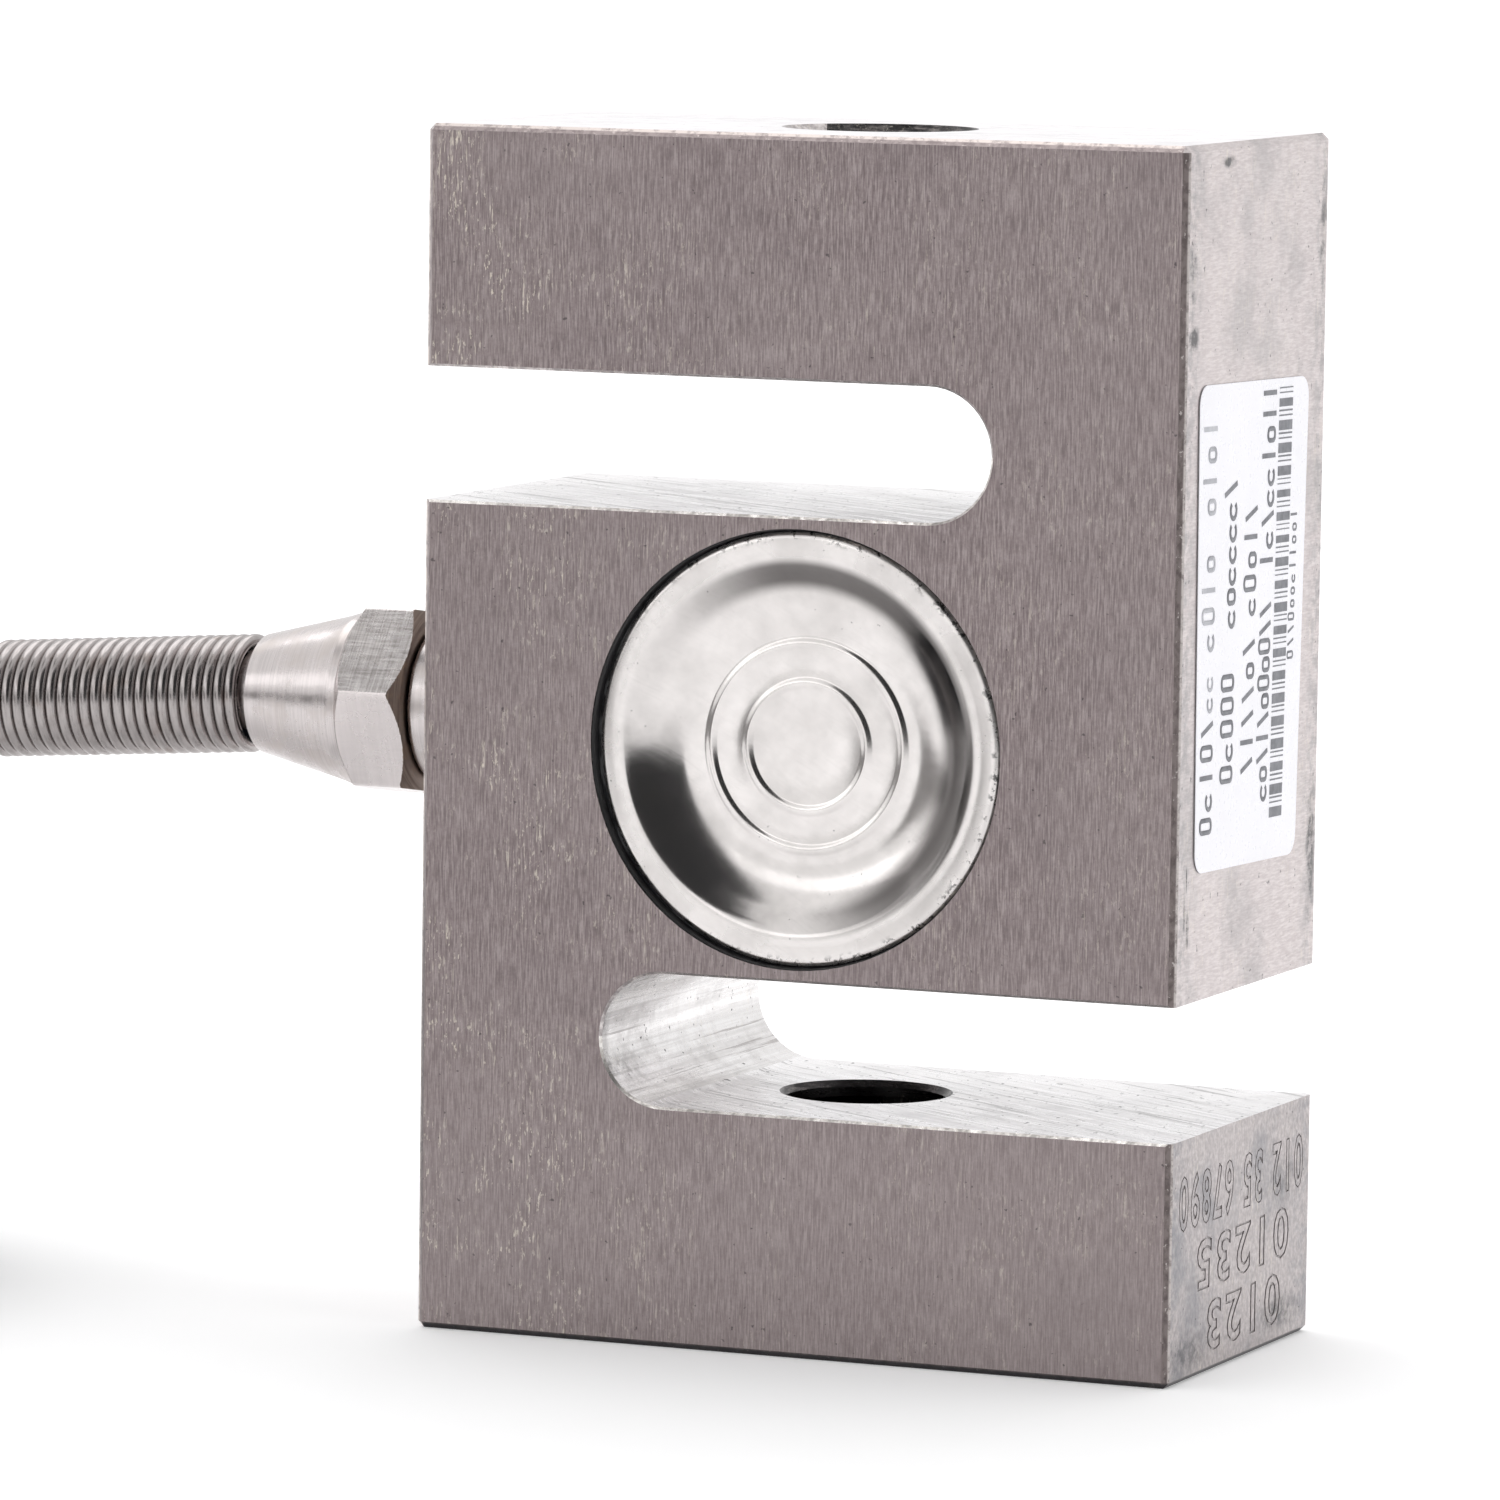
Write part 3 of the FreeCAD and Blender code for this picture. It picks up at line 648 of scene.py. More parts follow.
@dataclass(frozen=True)
class LitPaper(SoftFinish):
    """Paper or film that glows a little and so stays pale; on the label the glow is painted light."""

    glow: float = 0.25
    tint: Colour = (1.0, 1.0, 1.0)

    def material(self) -> Material:
        """Make the material.

        Returns:
            The finished material.
        """
        bench, colour = self.bench()
        bench.colour(colour)
        bench.shader.inputs["Emission Color"].default_value = (*self.tint, 1.0)
        bench.shader.inputs["Emission Strength"].default_value = self.glow
        return bench.material


@dataclass(frozen=True)
class StrippedCore(SoftFinish):
    """Core insulation that ends in a bare tinned tip, past a place along X."""

    tip_start: float = -86.0
    hollow: Colour = (0.3, 0.27, 0.24)
    strand: Colour = (0.8, 0.77, 0.72)

    def material(self) -> Material:
        """Make the material.

        Returns:
            The finished material.
        """
        bench, colour = self.bench()
        bare = bench.maths("GREATER_THAN", bench.parts()[0], self.tip_start * MM)
        twist = bench.grain([0.4, 5.0, 5.0], shift=3.0)
        strands = bench.ramp(twist, [(0.35, self.hollow), (0.6, self.strand)])
        bench.colour(bench.blend(bare, colour, strands))
        bench.feed(bench.shader.inputs["Metallic"], bare)
        return bench.material


@dataclass(frozen=True)
class GaugeFilm(SoftFinish):
    """Amber film with slanting foil grids; pitch is the distance between foil lines, in mm."""

    foil: Colour = (0.55, 0.42, 0.26)
    pitch: float = math.tau / 12.0
    foil_metal: float = 0.8

    def material(self) -> Material:
        """Make the material.

        Returns:
            The finished material.
        """
        bench, colour = self.bench()
        across, _, up = bench.parts()
        rise = bench.maths("SUBTRACT", up, MIDDLE * MM)
        slant = bench.maths("ADD", bench.maths("ABSOLUTE", across), rise)
        wave = bench.maths("SINE", bench.product(slant, math.tau / (self.pitch * MM)))
        lines = bench.maths("GREATER_THAN", wave, 0.1)
        bench.colour(bench.blend(lines, colour, self.foil))
        bench.feed(bench.shader.inputs["Metallic"], bench.product(lines, self.foil_metal))
        return bench.material


def smudge(across: float, up: float, wide: float, tall: float, share: float) -> Mark:
    """Mark one smudge on the label's side, by its middle, its reach to each side in mm, and its strength."""
    return (LABEL_SIDE, across, up), (SMUDGE_DEPTH, wide, tall), share


class Finish(Enum):
    """The named finishes."""

    # The block's steel in three brightnesses: front and back faces painted darker as painted shade, top and
    # bottom painted near white as painted light, sides in between.
    FACE = BrushedSteel(
        "ground_face_painted_shade", (0.196, 0.16, 0.162), (0.272, 0.227, 0.228), (0.368, 0.318, 0.315), (9.0, 9.0, 0.6),
        mottle_share=0.2, spread=0.12, stain_share=0.2, stain_and_shade_colour=(0.19, 0.16, 0.165),
        scratch_turn=(0.0, 0.9, 0.0), wear=(0, -4.0, -23.0), lift=(6.0, 34.0, 0.3), fleck_share=0.7)
    SIDE = BrushedSteel(
        "ground_side", (0.57, 0.515, 0.515), (0.615, 0.56, 0.557), (0.675, 0.62, 0.615), (9.0, 1.1, 8.0),
        mottle_share=0.14, spread=0.14, stain=0.16, stain_share=0.5, stain_and_shade_colour=(0.36, 0.345, 0.35),
        fleck_share=0.35, pit_level=0.7, scratch_turn=(0.9, 0.0, 0.0), dirt=(1, 8.5, 12.6, 0.75),
        marks=(smudge(-5.6, 75.0, 1.6, 0.5, 0.9), smudge(-11.3, 64.5, 1.1, 1.2, 0.9),
               smudge(-11.6, 68.5, 0.9, 3.5, 0.5), smudge(-11.2, 29.4, 0.3, 1.7, 1.0),
               smudge(-10.6, 28.2, 0.35, 1.5, 1.0), smudge(-10.9, 31.3, 0.15, 1.2, 1.0),
               smudge(11.4, 31.0, 1.1, 6.0, 0.8), smudge(11.7, 70.0, 0.8, 5.0, 0.6)))
    SIDE_LOW = BrushedSteel(
        "ground_side_low", (0.38, 0.35, 0.35), (0.46, 0.42, 0.42), (0.56, 0.52, 0.515), (3.5, 3.0, 2.5),
        mottle=3.0, spread=0.14, stain=0.14, stain_share=0.8, stain_and_shade_colour=(0.25, 0.25, 0.27),
        fleck_share=0.4, pit_share=0.8, dirt=(1, 7.0, 12.6, 0.6),
        marks=(smudge(8.0, 10.5, 3.5, 2.2, 0.35), smudge(-9.0, 1.8, 5.0, 1.6, 0.5),
               smudge(7.0, 2.0, 5.0, 1.6, 0.6)))
    # Painted light: the top and bottom are the block's steel painted near white.
    TOP = BrushedSteel(
        "milled_top_painted_light", (0.68, 0.66, 0.68), (0.86, 0.835, 0.85), (0.97, 0.95, 0.96), (0.6, 4.0, 4.0),
        stain_share=0.12, roughness=0.34, fleck_share=0.4, turn=(0.0, 0.0, 0.5), cut_share=0.25,
        cuts=(0.04, 0.9, 0.9), stain_and_shade_colour=(0.34, 0.33, 0.34))
    SLOT = BrushedSteel(
        "milled_slot", (0.76, 0.745, 0.75), (0.86, 0.84, 0.85), (0.95, 0.94, 0.945), (0.1, 2.5, 2.5),
        mottle=2.5, spread=0.14, stain=0.22, stain_share=0.2, stain_and_shade_colour=(0.3, 0.29, 0.29), roughness=0.3,
        fleck_share=0.3, pit_share=1.0, pit_level=0.67, relief=0.006, turn=(0.0, 0.0, -0.55),
        cuts=(0.03, 0.9, 0.9), cut_share=0.7,
        marks=(((9.1, -12.3, 50.0), (1.0, 0.5, 4.0), 0.9), ((0.1, -12.4, 50.0), (0.5, 0.35, 4.0), 0.8)))
    SLOT_END = BrushedSteel(
        "milled_slot_end", (0.68, 0.66, 0.655), (0.78, 0.76, 0.755), (0.88, 0.865, 0.865), (3.0, 0.06, 3.0),
        mottle=2.0, spread=0.14, stain=0.3, stain_share=0.35, stain_and_shade_colour=(0.3, 0.275, 0.27), roughness=0.26,
        fleck_share=0.3, pit_share=0.9, pit_level=0.69, relief=0.008, cuts=(1.6, 0.03, 1.6), cut_share=0.6,
        # Painted shade: the slot end is darker at its top left, in its lower left corner and along its front
        # edge.
        marks=(((-12.0, -10.0, 23.2), (3.2, 9.0, 1.8), 0.4), ((-15.0, -11.0, 16.6), (5.0, 7.0, 2.6), 0.8),
               ((-15.0, -12.4, 19.0), (5.0, 1.2, 4.0), 0.7)))
    # Painted light: the top and cable-side chamfers take this lighter copy of the edge finish.
    EDGE_LIGHT = BrokenEdge(
        "bright_edge_painted_light", (0.22, 0.185, 0.185), (0.32, 0.275, 0.27), (0.66, 0.59, 0.56), line=(1, 12.5, 12.44))
    # Painted contact shadow: these chamfers darken at the bottom, by the floor.
    EDGE = BrokenEdge(
        "broken_edge", (0.12, 0.1, 0.098), (0.2, 0.17, 0.166), (0.7, 0.65, 0.63), line=(0, 25.24, 25.34),
        highlight_share=0.7, contact_shadow_share=0.85)
    # One burr finish in two brightnesses: bright on upward-facing rim bevels as painted light, darker on
    # downward-facing ones as painted shade.
    BURR = BrushedSteel(
        "edge_burr", (0.48, 0.45, 0.43), (0.76, 0.72, 0.69), (0.96, 0.93, 0.9), (2.2, 2.2, 2.2),
        mottle=1.2, spread=0.1, stain_share=0.0, roughness=0.3, pit_share=0.3)
    BURR_SOFT = BrushedSteel(
        "edge_burr_soft", (0.34, 0.31, 0.31), (0.48, 0.44, 0.44), (0.66, 0.62, 0.61), (2.2, 2.2, 2.2),
        mottle=1.2, spread=0.1, stain_share=0.0, roughness=0.3, pit_share=0.3)
    # Painted shade: inside the pockets, holes and threads the steel is painted near black.
    BORE = BrushedSteel(
        "bored_steel_painted_shade", (0.02, 0.019, 0.02), (0.05, 0.047, 0.046), (0.2, 0.18, 0.175), (0.3, 3.0, 3.0),
        roughness=0.35)
    # Painted shade: the engraved grooves are the side's steel painted darker.
    CUT = BrushedSteel(
        "engraved_cut_painted_shade", (0.28, 0.26, 0.26), (0.36, 0.335, 0.335), (0.46, 0.43, 0.43), (3.0, 3.0, 3.0),
        roughness=0.5, fleck_share=0.2)
    THREAD = BrushedSteel(
        "thread_flank_painted_shade", (0.01, 0.009, 0.01), (0.03, 0.028, 0.029), (0.1, 0.09, 0.088), (0.8, 0.8, 5.0),
        roughness=0.3, fleck_share=0.2)
    SHEET = PolishedSheet()
    NICKEL = TurnedNickel()
    CHAMFER = TurnedNickel(
        "worn_nickel", (0.26, 0.215, 0.185), (0.12, 0.095, 0.08), (0.42, 0.3, 0.2),
        bare_share=0.2, roughness=0.36)
    FLAT = TurnedNickel(
        "milled_nickel", (0.68, 0.63, 0.625), (0.62, 0.575, 0.57), bare_share=0.0, cross=0.4, relief=0.01,
        cloud_share=0.1, pitch=5.0, uneven=0.02)
    # Painted reflection: the hex's upward-facing flats get a high-contrast hatch, near white to mid grey,
    # standing in for what they reflect.
    HATCH_REFLECTION = TurnedNickel(
        "hatched_nickel_painted_reflection", (1.0, 0.96, 0.95), (0.46, 0.42, 0.41), bare_share=0.03, cross=0.5, relief=0.03,
        cloud_share=0.1, pitch=8.0, uneven=0.02)
    WIRE = DrawnWire()
    SEALANT = SoftFinish("black_sealant", (0.004, 0.004, 0.005), (0.012, 0.012, 0.014), 0.38, 0.8, 3.0, 0.04)
    GASKET = SoftFinish("fibre_ring", (0.16, 0.13, 0.09), (0.26, 0.21, 0.15), 0.7, 0.9, 5.0, 0.02)
    BUSH = SoftFinish("bush_rubber", (0.01, 0.01, 0.01), (0.025, 0.025, 0.025), 0.55)
    # Painted light: the label's film glows a little.
    FILM = LitPaper("white_film_painted_light", (0.92, 0.915, 0.955), (0.96, 0.953, 0.99), 0.32, 0.12, 2.5, 0.004,
                    glow=0.04, tint=(1.0, 0.98, 1.08))
    # Painted shadow: the label's edge is dark grey, standing for the shade along the film's edge.
    FILM_EDGE_SHADOW = SoftFinish("label_edge_painted_shadow", (0.16, 0.15, 0.155), (0.3, 0.29, 0.3), 0.5, 0.8, 3.0, 0.004)
    INK = SoftFinish("grey_ink", (0.15, 0.153, 0.172), (0.26, 0.265, 0.29), 0.5, 0.9, 5.0, 0.002)
    PALE_INK = SoftFinish("pale_ink", (0.36, 0.365, 0.4), (0.62, 0.625, 0.66), 0.5, 0.35, 5.0, 0.002)
    JACKET = SoftFinish("jacket_vinyl", (0.006, 0.008, 0.014), (0.014, 0.018, 0.028), 0.4, 0.15, 3.0, 0.02)
    TIE = SoftFinish("tie_band", (0.02, 0.02, 0.02), (0.045, 0.045, 0.045), 0.5, 0.4, 2.0, 0.03)
    BOARD = SoftFinish("board_mask", (0.01, 0.09, 0.03), (0.02, 0.14, 0.05), 0.35)
    GAUGE = GaugeFilm("gauge_film", (0.4, 0.17, 0.03), (0.52, 0.25, 0.06), 0.35)
    TINNED = TurnedNickel(
        "tinned_copper", (0.78, 0.74, 0.68), (0.5, 0.46, 0.4), (0.5, 0.3, 0.18),
        bare_share=0.1, roughness=0.3)
    RED = StrippedCore("red_core", (0.5, 0.03, 0.02), (0.6, 0.05, 0.03), 0.35)
    BLACK = StrippedCore("black_core", (0.012, 0.012, 0.012), (0.03, 0.03, 0.03), 0.35)
    GREEN = StrippedCore("green_core", (0.03, 0.2, 0.06), (0.05, 0.28, 0.09), 0.35)
    WHITE = StrippedCore("white_core", (0.75, 0.75, 0.72), (0.84, 0.84, 0.82), 0.35)
    PAPER = LitPaper("studio_paper", (0.9, 0.9, 0.905), (0.93, 0.93, 0.935), 0.9, 0.002, 0.2, 0.01)
    CARD = SoftFinish("dark_card", (0.01, 0.01, 0.012), (0.02, 0.02, 0.02), 0.9, 0.01, 0.2, 0.01)
    STRIP = LitPaper("light_strip", (0.9, 0.9, 0.9), (0.93, 0.93, 0.93), 0.9, 0.002, 0.2, 0.01, glow=0.6)
    GREY_CARD = SoftFinish("grey_card", (0.2, 0.195, 0.19), (0.24, 0.23, 0.23), 0.9, 0.01, 0.2, 0.01)

    def material(self) -> Material:
        """The finish's material, made once."""
        return bpy.data.materials.get(self.value.name) or self.value.material()


# ---------------- mesh helpers
@dataclass(frozen=True)
class Spindle:
    """An axis to turn shapes about: its start, its direction, and where angle zero and a quarter turn lie."""

    base: Triple
    ahead: Triple
    zero: Triple
    quarter: Triple

    def point(self, along: float, radius: float, angle: float) -> Vector:
        """A place about the axis.

        Args:
            along: Distance along the axis, in mm.
            radius: Distance from the axis, in mm.
            angle: Angle about the axis, in radians.

        Returns:
            The point in the frame, in metres.
        """
        outwards = Vector(self.zero) * math.cos(angle) + Vector(self.quarter) * math.sin(angle)
        return (Vector(self.base) + Vector(self.ahead) * along + outwards * radius) * MM


GLAND_AXIS = Spindle((CABLE_SIDE, 0, GLAND_HEIGHT), (-1, 0, 0), (0, -1, 0), (0, 0, 1))
FRONT_POCKET = Spindle((0, -DEPTH / 2, MIDDLE), (0, 1, 0), (1, 0, 0), (0, 0, 1))
REAR_POCKET = Spindle((0, DEPTH / 2, MIDDLE), (0, -1, 0), (1, 0, 0), (0, 0, 1))


def piece_from(mesh: Mesh, name: str, replaced: Iterable[str] = ()) -> Piece:
    """Put a mesh in the scene as a piece of the object.

    Args:
        mesh: The mesh, in metres and in place.
        name: The piece's name.
        replaced: CAD nodes that it stands for.

    Returns:
        The piece.
    """
    piece = hung(name, mesh)
    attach(piece, "root")
    if replaced:
        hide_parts(*replaced)
    return piece


def hung(name: str, data: Optional[bpy.types.ID]) -> Piece:
    """Put a new object in the scene, at the origin.

    Args:
        name: The object's name.
        data: Its mesh, curve, light or camera.

    Returns:
        The object.
    """
    thing = bpy.data.objects.new(name, data)
    bpy.context.scene.collection.objects.link(thing)
    return thing


@contextmanager
def reworked(mesh: Mesh) -> Iterator[bmesh.types.BMesh]:
    """Open a mesh for editing, and write it back.

    Args:
        mesh: The mesh.

    Yields:
        Its editable form.
    """
    work = bmesh.new()
    work.from_mesh(mesh)
    yield work
    work.to_mesh(mesh)
    work.free()


def mesh_of(work: bmesh.types.BMesh, name: str) -> Mesh:
    """Write an edit to a new mesh.

    Args:
        work: The edit, which ends here.
        name: The mesh's name.

    Returns:
        The mesh.
    """
    mesh = bpy.data.meshes.new(name)
    work.to_mesh(mesh)
    work.free()
    return mesh


def settle(mesh: Mesh, sharp_degrees: float = 35.0) -> Mesh:
    """Merge doubles, face outwards and shade smoothly between sharp edges.

    Args:
        mesh: The mesh to settle.
        sharp_degrees: Angle from which an edge stays sharp.

    Returns:
        The same mesh.
    """
    with reworked(mesh) as work:
        bmesh.ops.remove_doubles(work, verts=work.verts, dist=1e-7)
        bmesh.ops.dissolve_degenerate(work, edges=work.edges, dist=1e-8)
        bmesh.ops.recalc_face_normals(work, faces=work.faces)
        for face in work.faces:
            face.smooth = True
    mesh.set_sharp_from_angle(angle=math.radians(sharp_degrees))
    return mesh


def eased(points: Sequence[Triple], steps: int = 5) -> list[Point]:
    """Round the corners of a profile.

    Args:
        points: Corners as (along, radius, ease), where ease is how far from the corner the rounding starts.
        steps: Points on each rounded corner.

    Returns:
        The rounded profile.
    """
    result: list[Point] = []
    last = len(points) - 1
    most = 0.49
    for index, (along, radius, ease) in enumerate(points):
        corner = Vector((along, radius))
        if ease <= 0 or index in (0, last):
            result.append((along, radius))
            continue
        before = Vector(points[index - 1][:2]) - corner
        after = Vector(points[index + 1][:2]) - corner
        start = corner + before.normalized() * min(ease, before.length * most)
        end = corner + after.normalized() * min(ease, after.length * most)
        for step in range(steps + 1):
            share = step / steps
            spot = start * (1 - share) ** 2 + corner * 2 * share * (1 - share) + end * share**2
            result.append((spot.x, spot.y))
    return result


def turned(name: str, spindle: Spindle, profile: Sequence[Point], steps: int,
           shape: Optional[Callable[[float, float, float], Point]] = None) -> Mesh:
    """Turn a closed profile about an axis.

    Args:
        name: The mesh's name.
        spindle: The axis.
        profile: (along, radius) pairs of a closed outline; radius 0 is a pole.
        steps: Steps round the axis.
        shape: Changes (along, radius, angle) into another (along, radius).

    Returns:
        The mesh.
    """
    work = bmesh.new()
    rings = []
    for along, radius in profile:
        if radius <= 0:
            rings.append([work.verts.new(spindle.point(along, 0.0, 0.0))])
            continue
        ring = []
        for step in range(steps):
            angle = 2 * math.pi * step / steps
            place = shape(along, radius, angle) if shape else (along, radius)
            ring.append(work.verts.new(spindle.point(place[0], place[1], angle)))
        rings.append(ring)
    for here, there in zip(rings, rings[1:] + rings[:1]):
        if len(here) == 1 and len(there) == 1:
            continue
        for step in range(steps):
            following = (step + 1) % steps
            corners = [here[step % len(here)], here[following % len(here)],
                       there[following % len(there)], there[step % len(there)]]
            work.faces.new(list(dict.fromkeys(corners)))
    return settle(mesh_of(work, name))


def eased_plate(name: str, outline: Sequence[Vector], thickness: float, ahead: Vector,
                ease: float = 0.3) -> Mesh:
    """Extrude a closed outline into a plate with eased front edges.

    Args:
        name: The mesh's name.
        outline: Corners in order, in metres.
        thickness: Thickness in metres.
        ahead: Direction that the plate's face looks in.
        ease: Share of the thickness that the easing takes.

    Returns:
        The mesh.
    """
    work = bmesh.new()
    back = [work.verts.new(point) for point in outline]
    centre = sum(outline, Vector()) / len(outline)
    middle = [work.verts.new(point + ahead * thickness * (1.0 - ease)) for point in outline]
    front = [work.verts.new(point + (centre - point).normalized() * thickness * ease + ahead * thickness)
             for point in outline]
    for low, high in ((back, middle), (middle, front)):
        for index in range(len(outline)):
            following = (index + 1) % len(outline)
            work.faces.new([low[index], low[following], high[following], high[index]])
    work.faces.new(front)
    work.faces.new(list(reversed(back)))
    return settle(mesh_of(work, name))


# ---------------- geometry nodes
class GrowthTree:
    """A geometry node tree made in the script, with named inputs."""

    def __init__(self, name: str, inputs: dict[str, str]) -> None:
        """Start a tree.

        Args:
            name: The tree's name.
            inputs: Input names and their socket types.
        """
        self.tree = bpy.data.node_groups.new(name, "GeometryNodeTree")
        self.tree.interface.new_socket("Geometry", in_out="OUTPUT", socket_type="NodeSocketGeometry")
        self.keys = {}
        for label, kind in inputs.items():
            socket = self.tree.interface.new_socket(label, in_out="INPUT", socket_type=kind)
            self.keys[label] = socket.identifier
        self.entry = self.tree.nodes.new("NodeGroupInput")
        self.leave = self.tree.nodes.new("NodeGroupOutput")

    def given(self, label: str) -> Output:
        """The output of one of the tree's named inputs."""
        return self.entry.outputs[label]

    def add(self, kind: str, inputs: Optional[dict] = None, **settings: object) -> bpy.types.Node:
        """Add a node.

        Args:
            kind: The node's type.
            inputs: Its inputs by name or index, as links or values.
            settings: Its properties.

        Returns:
            The node.
        """
        node = self.tree.nodes.new(kind)
        for key, value in settings.items():
            setattr(node, key, value)
        for key, value in (inputs or {}).items():
            if isinstance(value, Output):
                self.tree.links.new(value, node.inputs[key])
            else:
                node.inputs[key].default_value = value
        return node

    def maths(self, operation: str, first: object, second: object) -> Output:
        """Add a Math node and return its output."""
        return self.add("ShaderNodeMath", {0: first, 1: second}, operation=operation).outputs[0]

    def finish(self, geometry: Output) -> None:
        """End the tree in real meshes of one material.

        Args:
            geometry: What the tree has made.
        """
        real = self.add("GeometryNodeRealizeInstances", {"Geometry": geometry})
        dressed = self.add("GeometryNodeSetMaterial", {
            "Geometry": real.outputs[0], "Material": self.given("Material")})
        self.tree.links.new(dressed.outputs[0], self.leave.inputs[0])

    def grow(self, name: str, values: dict[str, object]) -> Mesh:
        """Run the tree and keep its mesh.

        Args:
            name: The mesh's name.
            values: The tree's inputs.

        Returns:
            The mesh.
        """
        host = hung(name, bpy.data.meshes.new(name + "_seed"))
        growth = host.modifiers.new("growth", "NODES")
        growth.node_group = self.tree
        for label, value in values.items():
            growth[self.keys[label]] = value
        graph = bpy.context.evaluated_depsgraph_get()
        grown = host.evaluated_get(graph)
        mesh = bpy.data.meshes.new_from_object(grown, preserve_all_data_layers=True, depsgraph=graph)
        mesh.name = name
        host.modifiers.remove(growth)
        bpy.data.objects.remove(host)
        return mesh


def coil_tree() -> GrowthTree:
    """Make the tree that winds a wire or a thread's ridge into a helix about Z.

    Returns:
        The tree.
    """
    tree = GrowthTree("wound_coil", {
        "Turns": "NodeSocketFloat", "Radius": "NodeSocketFloat", "Pitch": "NodeSocketFloat",
        "Wire Radius": "NodeSocketFloat", "Steps": "NodeSocketInt", "Sides": "NodeSocketInt",
        "Material": "NodeSocketMaterial"})
    height = tree.maths("MULTIPLY", tree.given("Turns"), tree.given("Pitch"))
    spiral = tree.add("GeometryNodeCurveSpiral", {
        "Resolution": tree.given("Steps"), "Rotations": tree.given("Turns"), "Height": height,
        "Start Radius": tree.given("Radius"), "End Radius": tree.given("Radius")})
    upright = tree.add("GeometryNodeSetCurveNormal", {"Curve": spiral.outputs[0]}, mode="Z_UP")
    section = tree.add("GeometryNodeCurvePrimitiveCircle", {
        "Resolution": tree.given("Sides"), "Radius": tree.given("Wire Radius")})
    swept = tree.add("GeometryNodeCurveToMesh", {
        "Curve": upright.outputs[0], "Profile Curve": section.outputs[0], "Fill Caps": True})
    tree.finish(swept.outputs[0])
    return tree


def add_mark(tree: GrowthTree, marks: bpy.types.Node, geometry: Output,
             middle: float, lean: float = 0.0) -> None:
    """Add one simple mark to the set that a printed row picks from.

    Args:
        tree: The tree.
        marks: The node that joins the set.
        geometry: The mark, for a letter height of 2.
        middle: Its height above the middle of the row.
        lean: Its turn in radians.
    """
    moved = tree.add("GeometryNodeTransform", {
        "Geometry": geometry, "Translation": (0.0, middle, 0.0), "Rotation": (0.0, 0.0, lean)})
    single = tree.add("GeometryNodeGeometryToInstance", {"Geometry": moved.outputs[0]})
    tree.tree.links.new(single.outputs[0], marks.inputs[0])


def add_plain_marks(tree: GrowthTree, marks: bpy.types.Node, stroke: float = 0.26, bar: float = 0.27) -> None:
    """Add two loops, a hook, an upright bar and a leaning bar to a printed row's set.

    Args:
        tree: The tree.
        marks: The node that joins the set.
        stroke: Width of a loop's or a hook's stroke, for a letter height of 2.
        bar: Width of a bar.
    """
    line = tree.add("GeometryNodeCurvePrimitiveLine", {
        "Start": (-stroke / 2, 0.0, 0.0), "End": (stroke / 2, 0.0, 0.0)})
    for tall, wide, middle in ((1.74, 0.66, 0.0), (1.04, 0.64, -0.35)):
        loop = tree.add("GeometryNodeCurvePrimitiveQuadrilateral", {"Width": wide, "Height": tall})
        eased_loop = tree.add("GeometryNodeFilletCurve", {
            "Curve": loop.outputs[0], "Radius": 0.28, "Count": 4}, mode="POLY")
        flat_loop = tree.add("GeometryNodeCurveToMesh", {
            "Curve": eased_loop.outputs[0], "Profile Curve": line.outputs[0]})
        add_mark(tree, marks, flat_loop.outputs[0], middle)
    hook = tree.add("GeometryNodeCurveArc", {
        "Resolution": 14, "Radius": 0.42, "Start Angle": 0.7, "Sweep Angle": 4.9}, mode="RADIUS")
    flat_hook = tree.add("GeometryNodeCurveToMesh", {
        "Curve": hook.outputs[0], "Profile Curve": line.outputs[0]})
    add_mark(tree, marks, flat_hook.outputs[0], -0.45)
    for tall, lean in ((2.0, 0.0), (1.9, 0.32)):
        upright = tree.add("GeometryNodeMeshGrid", {
            "Size X": bar, "Size Y": tall, "Vertices X": 2, "Vertices Y": 2})
        add_mark(tree, marks, upright.outputs[0], (tall - 2.0) / 2, lean)


def print_tree() -> GrowthTree:
    """Make the tree that lays a row of plain printed marks or bars along X.

    Returns:
        The tree.
    """
    tree = GrowthTree("printed_row", {
        "Count": "NodeSocketInt", "Pitch": "NodeSocketFloat", "Height": "NodeSocketFloat",
        "Least Width": "NodeSocketFloat", "Most Width": "NodeSocketFloat", "Seed": "NodeSocketInt",
        "Bars": "NodeSocketBool", "Material": "NodeSocketMaterial"})
    offset = tree.add("ShaderNodeCombineXYZ", {"X": tree.given("Pitch")})
    row = tree.add("GeometryNodeMeshLine", {"Count": tree.given("Count"), "Offset": offset.outputs[0]})
    width = tree.add("FunctionNodeRandomValue", {
        2: tree.given("Least Width"), 3: tree.given("Most Width"),
        "Seed": tree.maths("ADD", tree.given("Seed"), 7.0)}, data_type="FLOAT")
    size = tree.add("ShaderNodeCombineXYZ", {"X": width.outputs[1], "Y": tree.given("Height"), "Z": 1.0})
    marks = tree.add("GeometryNodeJoinGeometry")
    add_plain_marks(tree, marks)
    choice = tree.add("FunctionNodeRandomValue", {4: 0, 5: 4, "Seed": tree.given("Seed")}, data_type="INT")
    plain = tree.add("GeometryNodeMeshGrid", {"Size X": 1.0, "Size Y": 1.0, "Vertices X": 2, "Vertices Y": 2})
    chosen = tree.add("GeometryNodeSwitch", {
        "Switch": tree.given("Bars"), "False": marks.outputs[0], "True": plain.outputs[0]},
        input_type="GEOMETRY")
    picks = tree.maths("SUBTRACT", 1.0, tree.given("Bars"))
    placed = tree.add("GeometryNodeInstanceOnPoints", {
        "Points": row.outputs[0], "Instance": chosen.outputs[0], "Scale": size.outputs[0],
        "Pick Instance": picks, "Instance Index": choice.outputs[2]})
    tree.finish(placed.outputs[0])
    return tree


